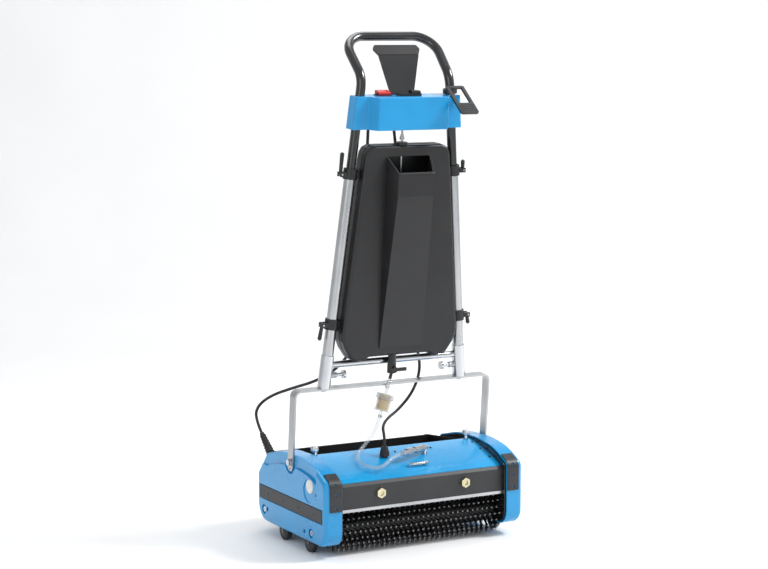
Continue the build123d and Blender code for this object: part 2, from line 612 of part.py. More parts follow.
def hopper_plan(inset, u0, u1):
    """Plan of the hopper, narrower towards its lip, between two heights."""
    wide, narrow, lip_v = HOPPER_BACK - inset, HOPPER_LIP - inset, LIP_V + inset
    half = [(wide, TANK_FRONT + 10), (wide, TANK_FRONT), (narrow, lip_v - 1)]
    outline = half + [(-x, v) for x, v in reversed(half)]
    return Pos(0, 0, u0) * extrude(make_face(Polyline(*outline, close=True)), u1 - u0, dir=(0, 0, 1))


def hopper(inset):
    """Raised centre panel that deepens into the filler mouth."""
    low, lip_y = 300.0 + inset * 3, LIP_V + inset
    panel = hopper_plan(inset, low, MOUTH_TOP_U)
    wedge = [(TANK_FRONT + 10, low), (TANK_FRONT - 3 + inset, low), (lip_y, LIP_U - 60), (lip_y, LIP_U),
             (TANK_FRONT, MOUTH_TOP_U), (TANK_FRONT + 10, MOUTH_TOP_U)]
    return panel & prism_x(wedge, -100, 100)


def fresh_water_tank():
    """Hollow moulded tank with an open filler mouth and a threaded outlet below."""
    body = tank_solid(0, TANK_FRONT, TANK_BACK)
    body = fillet(body.edges().filter_by(Axis.Y), 9)
    body = fillet([e for e in body.edges() if abs(e.center().Y - TANK_FRONT) < 0.01], 8)
    body += hopper(0)
    hollow = tank_solid(TANK_WALL, TANK_FRONT + TANK_WALL, TANK_BACK - TANK_WALL)
    body -= hollow
    mouth = hopper(TANK_WALL)
    front, back = LIP_V + TANK_WALL, TANK_FRONT + 10
    outline = [(back, LIP_U - 40), (front, LIP_U - 40), (front, LIP_U + 8), (TANK_FRONT, MOUTH_TOP_U + 8),
               (back, MOUTH_TOP_U)]
    throat = prism_x(outline, -HOPPER_BACK, HOPPER_BACK)
    mouth += throat & hopper_plan(TANK_WALL, LIP_U - 40, MOUTH_TOP_U + 8)
    body -= mouth & block(-200, 200, -200, TANK_FRONT + TANK_WALL + 1, 200, MOUTH_TOP_U)
    body += rod((OUTLET_X, OUTLET_V, 252), (OUTLET_X, OUTLET_V, TANK_U0 + 12), 11)
    body -= rod((OUTLET_X, OUTLET_V, 240), (OUTLET_X, OUTLET_V, TANK_U0 + 13), 6)
    return body - rod((OUTLET_X, OUTLET_V, TANK_U1 - 8), (OUTLET_X, OUTLET_V, TANK_U1 + 5), 9)


def tank_cap():
    """Guide cap of the valve rod on top of the tank."""
    cap = rod((OUTLET_X, OUTLET_V, TANK_U1), (OUTLET_X, OUTLET_V, TANK_U1 + 8), 15)
    cap += rod((OUTLET_X, OUTLET_V, TANK_U1 - 8), (OUTLET_X, OUTLET_V, TANK_U1), 8.9)
    return cap - rod((OUTLET_X, OUTLET_V, TANK_U1 - 20), (OUTLET_X, OUTLET_V, TANK_U1 + 20), 3 + RUN_GAP)


def valve_rod():
    """Long rod from the paddle down to the plug over the tank outlet."""
    body = rod((OUTLET_X, OUTLET_V, TANK_U0 + 12), (OUTLET_X, OUTLET_V, 952), 3)
    body += rod((OUTLET_X, OUTLET_V, 951), (OUTLET_X, OUTLET_V, 955), 6.5)
    body += rod((OUTLET_X, OUTLET_V, TANK_U0 + 12), (OUTLET_X, OUTLET_V, TANK_U0 + 22), 9)
    body += rod((OUTLET_X, OUTLET_V, TANK_U1 + 14), (OUTLET_X, OUTLET_V, TANK_U1 + 22), 6.5)
    return body + rod((OUTLET_X, OUTLET_V, TANK_U1 + 22), (OUTLET_X, OUTLET_V, TANK_U1 + 28), 4.5)


def outlet_valve():
    """Shut-off valve under the tank outlet, with its hose barb."""
    body = rod((OUTLET_X, OUTLET_V, 226), (OUTLET_X, OUTLET_V, 252), 12)
    body += rod((OUTLET_X, OUTLET_V, 252), (OUTLET_X, OUTLET_V, 262), 5.9)
    body += bar_y(OUTLET_X, VALVE_U, OUTLET_V - 20, OUTLET_V, 4)
    return body - rod((OUTLET_X, OUTLET_V, 230), (OUTLET_X, OUTLET_V, 263), 3)


def valve_handle():
    """Small lever on the shut-off valve."""
    hub = bar_y(OUTLET_X, VALVE_U, OUTLET_V - 21.5, OUTLET_V - 13, 7.5)
    arm = block(OUTLET_X, OUTLET_X + 34, OUTLET_V - 21.5, OUTLET_V - 17, VALVE_U - 4.5, VALVE_U + 4.5)
    return hub + arm - bar_y(OUTLET_X, VALVE_U, OUTLET_V - 20, OUTLET_V, 4 + RUN_GAP)


# ---------------------------------------------------------------- head
def handle_loop():
    """One bent tube: down into both handle tubes, up, back and across as the grip."""
    knee, top = tube_x(GRIP_KNEE_U), 136.0
    points = [(-tube_x(BLACK_FOOT), 0, BLACK_FOOT), (-knee, 0, GRIP_KNEE_U), (-top, GRIP_V, GRIP_U),
              (top, GRIP_V, GRIP_U), (knee, 0, GRIP_KNEE_U), (tube_x(BLACK_FOOT), 0, BLACK_FOOT)]
    line = FilletPolyline(*points, radius=GRIP_BEND)
    start = Plane(origin=line @ 0, z_dir=line % 0)
    return sweep(start * Circle(INNER_R), path=line) - sweep(start * Circle(INNER_BORE), path=line)


def box_layer(u, grow):
    """Plan outline of the control box at one height, drawn in by a distance."""
    end = tube_x(u) + 20 - grow
    half = [(104 - grow, BOX_FACE + grow), (120 - grow, BOX_FRONT + grow), (end, BOX_FRONT + grow),
            (end, 20 - grow), (120 - grow, BOX_BACK - grow)]
    points = half + [(-x, y) for x, y in reversed(half)]
    return Pos(0, 0, u) * make_face(Polyline(*points, close=True))


def control_box():
    """Moulded control box that clasps both tubes."""
    body = loft([box_layer(BOX_U0, 0), box_layer(BOX_U1, 0)])
    body = fillet([e for e in body.edges() if abs(e.tangent_at(0.5).Z) > 0.9], 5)
    body = fillet([e for e in body.edges() if abs(e.center().Z - BOX_U1) < 0.01], 3)
    for side in (-1, 1):
        body -= on_tube(BOX_U0 - 20, BOX_U1 + 20, INNER_R, side)
    hollow = [(-100, BOX_FACE + 4), (100, BOX_FACE + 4), (112, BOX_FRONT + 4), (112, BOX_BACK - 4),
              (-112, BOX_BACK - 4), (-112, BOX_FRONT + 4)]
    cavity = extrude(Pos(0, 0, BOX_U0 + 4) * make_face(Polyline(*hollow, close=True)), BOX_U1 - BOX_U0 - 8)
    body -= cavity
    body -= rod((OUTLET_X, OUTLET_V, BOX_U0 - 1), (OUTLET_X, OUTLET_V, BOX_U0 + 5), 4)
    body -= block(-38, 38, 8, 25, BOX_U1 - 5, BOX_U1 + 1)
    return body - block(-86, -50, -12, 12, BOX_U1 - 5, BOX_U1 + 1)


def paddle():
    """Flared squeeze plate on the box, hinged inside its slot."""
    outline = [(-32, 0), (32, 0), (36, 12), (60, 110), (-60, 110), (-36, 12)]
    plate = prism_y(outline, -2.5, 2.5)
    tip = prism_y([(-60, 0), (60, 0), (70, 18), (64, 32), (-64, 32), (-70, 18)], -2.5, 2.5)
    tip = fillet([e for e in tip.edges().filter_by(Axis.Y) if e.center().Z > 10], 8)
    plate += Pos(0, 0, 110) * Rot(X=-28) * tip
    hub = bar_x(-34, 34, 0, 0, 5)
    body = Pos(0, PADDLE_V, PADDLE_U) * Rot(X=-PADDLE_LEAN) * (plate + hub)
    arm = [(17, 958), (17, 965), (-10, 950.5), (-27, 950.5), (-27, 945), (-10, 945)]
    for side in (-8, 8):
        body += prism_x(arm, OUTLET_X + side - 2, OUTLET_X + side + 2)
    return body - bar_x(-50, 50, PADDLE_V, PADDLE_U, 2 + RUN_GAP)


def paddle_pin():
    """Hinge pin of the paddle, held by two cheeks inside the box."""
    pin = bar_x(-44, 44, PADDLE_V, PADDLE_U, 2)
    cheeks = block(-42, -37, 10, 24, 952, BOX_U1 - 4) + block(37, 42, 10, 24, 952, BOX_U1 - 4)
    return group([pin + cheeks])


def switch_flap():
    """Red rocking start flap."""
    body = prism_x([(-11, -4), (11, -4), (14, 5), (10, 10), (-10, 6), (-13, 3)], -17, 17)
    body = fillet([e for e in body.edges().filter_by(Axis.X) if e.center().Z > 0], 2)
    hub = bar_x(-17, 17, 0, -2, 4)
    return Pos(-68, 0, BOX_U1 + 4) * (body + hub) - bar_x(-100, -40, 0, FLAP_PIN_U, 2 + RUN_GAP)


def switch_bezel():
    """Dark bezel round the flap, its hinge pin and the cable outlet block beside it."""
    bezel = block(-88, -48, -14, 14, BOX_U1, BOX_U1 + 2)
    bezel -= block(-85.6, -50.4, -13.4, 13.4, BOX_U1 - 1, BOX_U1 + 3)
    pin = bar_x(-88, -48, 0, FLAP_PIN_U, 2) + block(-88, -85.6, -4, 4, BOX_U1, BOX_U1 + 6)
    pin += block(-50.4, -48, -4, 4, BOX_U1, BOX_U1 + 6)
    outlet = block(-30, 34, -26, -2, BOX_U1, BOX_U1 + 7) + block(6, 32, -24, -4, BOX_U1 + 7, BOX_U1 + 14)
    outlet = fillet([e for e in outlet.edges() if e.center().Z > BOX_U1 + 13], 2.5)
    return group([bezel + pin, outlet])


def cord_hook():
    """Folded cord hook on the right tube: ring, sloping arms and a ribbed pad."""
    ring = rod((tube_x(971), 0, 971), (tube_x(983), 0, 983), 19)
    arms = block(-27, 27, -98, 10, -3, 3)
    arms = fillet(arms.edges().filter_by(Axis.Z), 6) - block(-18, 18, -58, 2, -4, 4)
    for k in range(5):
        arms += bar_x(-22, 22, -94 + 7 * k, 3, 1.6)
    hook = ring + Pos(140, -20, 984) * Rot(X=34) * arms
    return hook - on_tube(940, 1010, INNER_R, 1)


# ---------------------------------------------------------------- hoses, filter and cords
def filter_housing():
    """Clear inline strainer housing with a barb at each end."""
    body = rod(along(FILTER_FOOT, FILTER_TOP, 0.12), along(FILTER_FOOT, FILTER_TOP, 0.6), 20)
    body += rod(along(FILTER_FOOT, FILTER_TOP, 0.6), along(FILTER_FOOT, FILTER_TOP, 0.82), 23)
    body -= rod(along(FILTER_FOOT, FILTER_TOP, 0.16), along(FILTER_FOOT, FILTER_TOP, 0.79), 17.5)
    for start, end in ((0, 0.13), (0.8, 1)):
        body += rod(along(FILTER_FOOT, FILTER_TOP, start), along(FILTER_FOOT, FILTER_TOP, end), 4.4)
    return body


def filter_element():
    """Yellow strainer element inside the housing."""
    low, high = along(FILTER_FOOT, FILTER_TOP, 0.17), along(FILTER_FOOT, FILTER_TOP, 0.78)
    return rod(low, high, 15)


def cable_clips():
    """Two clips on the back of the tank that hold the leads."""
    clips = []
    for x in LEAD_X:
        clip = block(x - 9, x + 9, TANK_BACK, CABLE_V + 7, CLIP_U - 6, CLIP_U + 6)
        clips.append(clip - rod((x, CABLE_V, CLIP_U - 10), (x, CABLE_V, CLIP_U + 10), CABLE_R + 0.4))
    return clips


def tied_leads():
    """Leads pulled straight from the box to the clips, behind the tank."""
    leads = []
    for x, top_x in zip(LEAD_X, LEAD_TOP_X):
        lead = rod((top_x, CABLE_V, BOX_U0 + 5), (x, CABLE_V, CLIP_U + 6), CABLE_R)
        lead += rod((x, CABLE_V, CLIP_U - 8), (x, CABLE_V, CLIP_U + 8), CABLE_R)
        leads.append(lead - block(top_x - 10, top_x + 10, 10, 40, BOX_U0, BOX_U0 + 20))
    return group(leads)


# ---------------------------------------------------------------- the machine
def build_chassis():
    """Covers, frame, guards and fittings of the base body."""
    cover = side_cover()
    base("side_cover_left", left_cover(cover))
    base("side_cover_right", mirrored(cover))
    frame = [*both(side_plate()).solids(), *cross_rails().solids(), *wheel_carriers().solids(), idler_axle()]
    base("chassis_frame", group(frame))
    base("bearing_blocks", bearing_blocks())
    base("top_cover", top_cover())
    base("front_guard", front_guard())
    base("guard_edge_strip", block(-PLATE_IN + 1, PLATE_IN - 1, GUARD_Y - 1.5, GUARD_Y + 3.5, 118, 126))
    base("guard_hex_nuts", hex_nuts())
    base("corner_brackets", both(corner_bracket()))
    base("bumper_strips", both(bumper_strip()))
    base("side_caps", both(bar_x(-HALF_WIDTH - 3, -HALF_WIDTH + 6, CAP_Y, CAP_Z, CAP_R)))
    base("chassis_fasteners", group([cover_screws(), pivot_bolts(), thumb_knobs()]))
    base("water_inlet", spray_bar() + coupling())
    base("cable_entries", group([cable_gland(), cable_boot()]))
    base("side_port", side_port())


def build_drive():
    """Motor, idler, belts, brushes and transfer drum."""
    base("motor_housing", motor_housing())
    base("motor_rotor", motor_rotor())
    base("idler_gear", idler())
    front, rear = (-BRUSH_Y, BRUSH_Z, LARGE_PULLEY), (BRUSH_Y, BRUSH_Z, LARGE_PULLEY)
    drum = (0, DRUM_Z, DRUM_PULLEY)
    motor, reverse = (MOTOR_Y, MOTOR_Z, SMALL_PULLEY), (IDLER_Y, MOTOR_Z, SMALL_PULLEY)
    base("drive_belts", group([belt(BELT_LANE, front, motor), belt(BELT_LANE, rear, reverse),
                               belt(DRUM_LANE, drum, reverse)]))
    for name, y in (("front", -BRUSH_Y), ("rear", BRUSH_Y)):
        core = roller_core(y, BRUSH_Z, CORE_R, BELT_LANE[1] - 1) + pulley(BELT_LANE, y, BRUSH_Z, LARGE_PULLEY)
        base(f"brush_{name}_core", core)
        base(f"brush_{name}_bristles", bristles(y))
    drum_body = roller_core(0, DRUM_Z, DRUM_R, DRUM_LANE[1] - 1) + pulley(DRUM_LANE, 0, DRUM_Z, DRUM_PULLEY)
    base("transfer_drum", drum_body)
    for side_name, side in (("left", -1), ("right", 1)):
        for end_name, y in zip(("front", "rear"), WHEEL_Y):
            base(f"wheel_{end_name}_{side_name}", wheel(side, y))


def build_bin():
    """Lift-out recovery tank."""
    base("recovery_tank", recovery_tank())
    base("carry_rod", group([carry_rod(), rod_screws()]))
    base("rear_lip", rear_lip())


def build_handle():
    """Everything that swings with the bail, and the small parts that move on it."""
    handle("bail", bail())
    handle("tube_sockets", group([tube_sockets(), tank_support_bar()]))
    handle("handle_tubes", group([handle_tube(-1), handle_tube(1)]))
    handle("handle_fasteners", group([bail_bolts(), plunger_barrels(), clamp_pins(), paddle_pin()]))
    handle("clamp_collars", clamp_collars())
    for side_name, side in (("left", -1), ("right", 1)):
        handle(f"index_plunger_{side_name}", plunger(side))
        for end_name, u, upward in zip(("upper", "lower"), CLAMP_U, (1, -1)):
            handle(f"clamp_lever_{end_name}_{side_name}", clamp_lever(side, u, upward))
    handle("fresh_water_tank", fresh_water_tank())
    handle("tank_fittings", group([tank_cap(), *cable_clips()]))
    handle("valve_rod", valve_rod())
    base("outlet_valve", HANDLE * outlet_valve() + rod(along(BARB_END, VALVE_ELBOW, 1.3), BARB_END, 4.4))
    handle("valve_handle", valve_handle())
    handle("handle_loop", handle_loop())
    handle("control_box", control_box())
    handle("paddle", paddle())
    handle("switch_flap", switch_flap())
    handle("switch_bezel", switch_bezel())
    handle("cord_hook", cord_hook())


def build_lines():
    """Hoses, strainer and cables."""
    base("filter_housing", filter_housing())
    base("filter_element", filter_element())
    handle("tied_leads", tied_leads())
    base("hose_upper", rod(FILTER_TOP, BARB_END, HOSE_R))
    base("hose_lower", cord("hose_lower", HOSE, HOSE_R, bend_radii(HOSE)))
    base("motor_cable", cord("motor_cable", MOTOR_CABLE, CABLE_R, bend_radii(MOTOR_CABLE)))
    base("control_cable", cord("control_cable", CONTROL_CABLE, CABLE_R, bend_radii(CONTROL_CABLE)))


def main():
    """Builds every node and writes one STEP file for each."""
    build_chassis()
    build_drive()
    build_bin()
    build_handle()
    build_lines()
    os.makedirs("parts", exist_ok=True)
    for name, shape in NODES.items():
        export_step(shape, f"parts/{name}.step")
    print(len(NODES), "nodes written")


if __name__ == "__main__":
    main()
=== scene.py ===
"""Looks of an upright wet dry floor scrubber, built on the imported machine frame."""

import json
import logging
import math
import random
from dataclasses import dataclass, field
from enum import Enum
from typing import Callable, Iterable, Optional, Sequence

import bpy
from mathutils import Matrix, Vector


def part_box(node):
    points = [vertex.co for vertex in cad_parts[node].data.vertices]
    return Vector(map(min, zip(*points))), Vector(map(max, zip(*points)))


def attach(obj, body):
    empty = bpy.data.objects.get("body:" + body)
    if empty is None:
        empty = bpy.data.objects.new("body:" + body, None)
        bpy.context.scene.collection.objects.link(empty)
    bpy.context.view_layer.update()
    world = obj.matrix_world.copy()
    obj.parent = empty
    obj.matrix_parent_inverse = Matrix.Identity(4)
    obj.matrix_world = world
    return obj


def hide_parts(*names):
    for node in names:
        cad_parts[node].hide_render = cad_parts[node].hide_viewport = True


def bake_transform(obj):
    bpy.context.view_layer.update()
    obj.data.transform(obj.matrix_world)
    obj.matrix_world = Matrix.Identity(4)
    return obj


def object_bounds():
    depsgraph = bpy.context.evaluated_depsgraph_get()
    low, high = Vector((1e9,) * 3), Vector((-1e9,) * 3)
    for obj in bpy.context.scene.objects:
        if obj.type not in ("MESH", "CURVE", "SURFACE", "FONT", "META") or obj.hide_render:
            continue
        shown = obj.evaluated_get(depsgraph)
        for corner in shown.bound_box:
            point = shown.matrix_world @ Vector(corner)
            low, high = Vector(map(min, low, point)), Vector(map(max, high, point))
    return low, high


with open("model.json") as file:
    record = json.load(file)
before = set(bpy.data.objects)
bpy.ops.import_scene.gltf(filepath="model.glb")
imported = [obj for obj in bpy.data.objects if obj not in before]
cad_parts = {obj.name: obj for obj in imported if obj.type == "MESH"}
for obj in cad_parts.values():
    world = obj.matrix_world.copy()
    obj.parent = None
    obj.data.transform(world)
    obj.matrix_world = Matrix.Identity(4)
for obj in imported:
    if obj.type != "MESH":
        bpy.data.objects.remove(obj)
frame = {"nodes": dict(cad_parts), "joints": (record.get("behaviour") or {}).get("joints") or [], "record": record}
CAD_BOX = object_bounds()

LOG = logging.getLogger("scene")
Point = tuple[float, float, float]

NODES: dict[str, bpy.types.Object] = frame["nodes"]
SEED = 7


# ---------------------------------------------------------------- camera and cords
CAMERA_AT: Point = (-2.650, -4.783, 1.356)
CAMERA_LENS = 96.0
SENSOR_WIDTH = 36.0
HOSE_D, CABLE_D = 0.010, 0.008
ROUTE_ORDER, ROUTE_STEPS = 3, 12


class Lay(Enum):
    """How a cord lies."""

    HANGING = "hanging"
    TAUT = "taut"


@dataclass(frozen=True)
class CordSpec:
    """Facts of one hose or cable.

    Args:
        name: Piece name.
        node: CAD node that it stands for, or None when another cord stands for it already.
        points: Route, in metres, from the exit to the far end.
        diameter: Outer diameter in metres.
        length: Real length in metres; not used.
        slot: Material slot of the record.
        stiffness: One of the frame's stiffness words; not used.
        lay: How it lies; not used.
        start: Body that carries the exit.
        finish: Body that carries the far end.
    """

    name: str
    node: Optional[str]
    points: tuple[Point, ...]
    diameter: float
    length: float
    slot: str
    stiffness: str
    lay: Lay
    start: str
    finish: str


HOSE_ROUTE = (
    (-0.049, -0.056, 0.339), (-0.0615, -0.056, 0.2982), (-0.097, -0.06, 0.262),
    (-0.14, -0.086, 0.24),
    (-0.152, -0.138, 0.226), (-0.116, -0.176, 0.216), (-0.0633, -0.153, 0.243),
    (-0.028, -0.137, 0.243),
)
MOTOR_ROUTE = (
    (-0.094, -0.029, 0.6375), (-0.094, -0.0226, 0.5658), (-0.104, 0.006, 0.505),
    (-0.125, 0.052, 0.45),
    (-0.16, 0.106, 0.412), (-0.206, 0.162, 0.388), (-0.25, 0.212, 0.362), (-0.275, 0.246, 0.325),
    (-0.276, 0.237, 0.2888), (-0.276, 0.205, 0.262),
)
CONTROL_ROUTE = (
    (0.06, -0.029, 0.6375), (0.06, -0.0227, 0.5678), (0.092, -0.008, 0.5), (0.11, 0.006, 0.437),
    (0.088, 0.008, 0.378), (0.038, -0.002, 0.335), (-0.014, -0.028, 0.318), (-0.05, -0.068, 0.306),
    (-0.055, -0.089, 0.284), (-0.055, -0.089, 0.257),
)
LEAD_ROUTES = (
    ((-0.094, -0.0711, 1.1056), (-0.094, -0.0304, 0.6534), (-0.094, -0.029, 0.6375)),
    ((-0.018, -0.0711, 1.1056), (0.06, -0.0304, 0.6534), (0.06, -0.029, 0.6375)),
)

CORDS = (
    CordSpec("clear_hose", "hose_lower", HOSE_ROUTE, HOSE_D, 0.343, "clear_hose", "medium",
             Lay.HANGING, "handle", "chassis"),
    CordSpec("motor_lead", "motor_cable", MOTOR_ROUTE, CABLE_D, 0.566, "black_rubber", "medium",
             Lay.HANGING, "handle", "chassis"),
    CordSpec("gland_lead", "control_cable", CONTROL_ROUTE, CABLE_D, 0.508, "black_rubber", "medium",
             Lay.HANGING, "handle", "chassis"),
    CordSpec("tied_lead_left", "tied_leads", LEAD_ROUTES[0], CABLE_D, 0.470, "black_rubber",
             "medium", Lay.TAUT, "handle", "handle"),
    CordSpec("tied_lead_right", None, LEAD_ROUTES[1], CABLE_D, 0.476, "black_rubber", "medium",
             Lay.TAUT, "handle", "handle"),
)


def add_camera() -> bpy.types.Object:
    """Adds the camera, aimed at the middle of the machine.

    Returns:
        The camera object.
    """
    data = bpy.data.cameras.new("camera")
    data.lens = CAMERA_LENS
    data.sensor_width = SENSOR_WIDTH
    camera = bpy.data.objects.new("camera", data)
    bpy.context.scene.collection.objects.link(camera)
    low, high = (Vector(corner) for corner in CAD_BOX)
    middle = (low + high) / 2
    look = (middle - Vector(CAMERA_AT)).normalized()
    turn = look.to_track_quat("-Z", "Y").to_matrix().to_4x4()
    camera.matrix_world = Matrix.Translation(CAMERA_AT) @ turn
    bpy.context.scene.camera = camera
    return camera


def route_line(points: Sequence[Point]) -> list[Vector]:
    """Smooth line of a route, read from its NURBS spline.

    Args:
        points: Control points, in metres.

    Returns:
        Points along the smooth line.
    """
    curve = bpy.data.curves.new("route", "CURVE")
    curve.dimensions = "3D"
    spline = curve.splines.new("NURBS")
    spline.points.add(len(points) - 1)
    for place, point in zip(spline.points, points):
        place.co = (*point, 1.0)
    spline.order_u = ROUTE_ORDER
    spline.use_endpoint_u = True
    spline.resolution_u = ROUTE_STEPS
    holder = bpy.data.objects.new("route", curve)
    mesh = bpy.data.meshes.new_from_object(holder)
    line = [vertex.co.copy() for vertex in mesh.vertices]
    bpy.data.objects.remove(holder)
    bpy.data.curves.remove(curve)
    bpy.data.meshes.remove(mesh)
    return line


# ---------------------------------------------------------------- mesh helpers
SHARP_ANGLE = math.radians(38)
NEARLY_UPRIGHT = 0.9
LEAST_RADIUS = 1e-5


def link_mesh(name: str, verts: Iterable[Sequence[float]], faces: Iterable[Sequence[int]],
              smooth: bool = True) -> bpy.types.Object:
    """Makes a mesh object and links it to the scene.

    Args:
        name: Piece name.
        verts: Vertex places.
        faces: Vertex numbers of each face.
        smooth: Whether the faces are shaded smooth.

    Returns:
        The new object.
    """
    mesh = bpy.data.meshes.new(name)
    mesh.from_pydata([tuple(v) for v in verts], [], [tuple(f) for f in faces])
    mesh.update()
    piece = bpy.data.objects.new(name, mesh)
    bpy.context.scene.collection.objects.link(piece)
    if smooth:
        mesh.shade_smooth()
        mesh.set_sharp_from_angle(angle=SHARP_ANGLE)
    return piece


def across(direction: Vector) -> tuple[Vector, Vector]:
    """Two unit directions square to a direction.

    Args:
        direction: Any direction.

    Returns:
        Two directions that are square to it and to each other.
    """
    upright = abs(direction.normalized().z) >= NEARLY_UPRIGHT
    helper = Vector((1, 0, 0)) if upright else Vector((0, 0, 1))
    side = direction.cross(helper).normalized()
    return side, direction.normalized().cross(side)


@dataclass
class Solid:
    """Collects rings and prisms into one mesh.

    Args:
        verts: Vertex places so far.
        faces: Faces so far.
    """

    verts: list[Vector] = field(default_factory=list)
    faces: list[tuple[int, ...]] = field(default_factory=list)

    def ring(self, centre: Vector, side: Vector, up: Vector, radius: Callable[[int], float],
             count: int) -> int:
        """Adds one ring of vertices.

        Args:
            centre: Middle of the ring.
            side: First direction of its plane.
            up: Second direction of its plane.
            radius: Radius at each vertex number.
            count: Number of vertices.

        Returns:
            Number of the ring's first vertex.
        """
        first = len(self.verts)
        for k in range(count):
            turn = math.tau * k / count
            self.verts.append(centre + (side * math.cos(turn) + up * math.sin(turn)) * radius(k))
        return first

    def join(self, low: int, high: int, count: int) -> None:
        """Joins two rings with faces.

        Args:
            low: First vertex of one ring.
            high: First vertex of the next ring.
            count: Vertices in each ring.
        """
        for k in range(count):
            m = (k + 1) % count
            self.faces.append((low + k, low + m, high + m, high + k))

    def cap(self, first: int, count: int, flip: bool) -> None:
        """Closes a ring with one face.

        Args:
            first: First vertex of the ring.
            count: Vertices in the ring.
            flip: Whether the face looks back along the axis.
        """
        order = range(first, first + count)
        self.faces.append(tuple(reversed(order)) if flip else tuple(order))

    def lathe(self, start: Point, end: Point, profile: Sequence[tuple[float, float]],
              count: int = 40, ribs: int = 0, depth: float = 0.0) -> "Solid":
        """Adds a turned shape between two points.

        Args:
            start: Start of the axis.
            end: End of the axis.
            profile: (distance along the axis, radius) pairs, in metres.
            count: Vertices round the axis.
            ribs: Number of flutes cut round it.
            depth: Depth of the flutes.

        Returns:
            This solid, so that calls can be chained.
        """
        a, b = Vector(start), Vector(end)
        direction = (b - a).normalized()
        side, up = across(direction)
        rings = []
        for distance, radius in profile:
            def at(k: int, r: float = radius) -> float:
                """Radius at one vertex, less the flute there."""
                wave = 0.5 + 0.5 * math.cos(math.tau * ribs * k / count) if ribs else 0.0
                return max(r - depth * wave, LEAST_RADIUS)
            rings.append(self.ring(a + direction * distance, side, up, at, count))
        for low, high in zip(rings, rings[1:]):
            self.join(low, high, count)
        self.cap(rings[0], count, True)
        self.cap(rings[-1], count, False)
        return self

    def tube(self, line: Sequence[Vector], radius: float, count: int = 16,
             closed: bool = False) -> "Solid":
        """Adds a round tube along a line, without twist.

        Args:
            line: Points along the middle.
            radius: Radius in metres.
            count: Vertices round it.
            closed: Whether the line is a loop.

        Returns:
            This solid.
        """
        side: Optional[Vector] = None
        rings = []
        total = len(line)
        for k, point in enumerate(line):
            ahead = line[(k + 1) % total] if closed or k + 1 < total else point
            behind = line[k - 1] if closed or k else point
            direction = (ahead - behind).normalized()
            if side is None:
                side, _ = across(direction)
            side = (side - direction * side.dot(direction)).normalized()
            rings.append(self.ring(point, side, direction.cross(side), lambda _: radius, count))
        for low, high in zip(rings, rings[1:]):
            self.join(low, high, count)
        if closed:
            self.join(rings[-1], rings[0], count)
        else:
            self.cap(rings[0], count, True)
            self.cap(rings[-1], count, False)
        return self

    def build(self, name: str, smooth: bool = True) -> bpy.types.Object:
        """Makes the object.

        Args:
            name: Piece name.
            smooth: Whether it is shaded smooth.

        Returns:
            The new object.
        """
        return link_mesh(name, self.verts, self.faces, smooth)


# ---------------------------------------------------------------- finishes
class Pattern(Enum):
    """Surface pattern of a finish."""

    GRAIN = "grain"
    PAINT = "paint"
    BRUSHED = "brushed"
    POLISHED = "polished"
    RUBBER = "rubber"
    BRISTLE = "bristle"
    CLEAR = "clear"
    PLEATED = "pleated"


@dataclass(frozen=True)
class Finish:
    """One material, worked out from a few facts.

    Args:
        pattern: Surface pattern.
        dark: Darker linear colour of its variation; for the bristle the filaments' own black, for the strainer the
            painted shade in the pleat folds.
        light: Lighter linear colour of its variation; for the bristle the painted highlight on the tips, for the
            strainer the painted highlight on the pleat crests.
        rough: Mean roughness.
        spread: Half the roughness variation.
        metallic: Metal share.
        coat: Clear coat weight.
        grain: Size of the surface grain in metres.
        bump: Height of the grain in metres.
        alpha: Opacity.
    """

    pattern: Pattern
    dark: tuple[float, float, float]
    light: tuple[float, float, float]
    rough: float
    spread: float = 0.04
    metallic: float = 0.0
    coat: float = 0.0
    grain: float = 0.0012
    bump: float = 0.00004
    alpha: float = 1.0


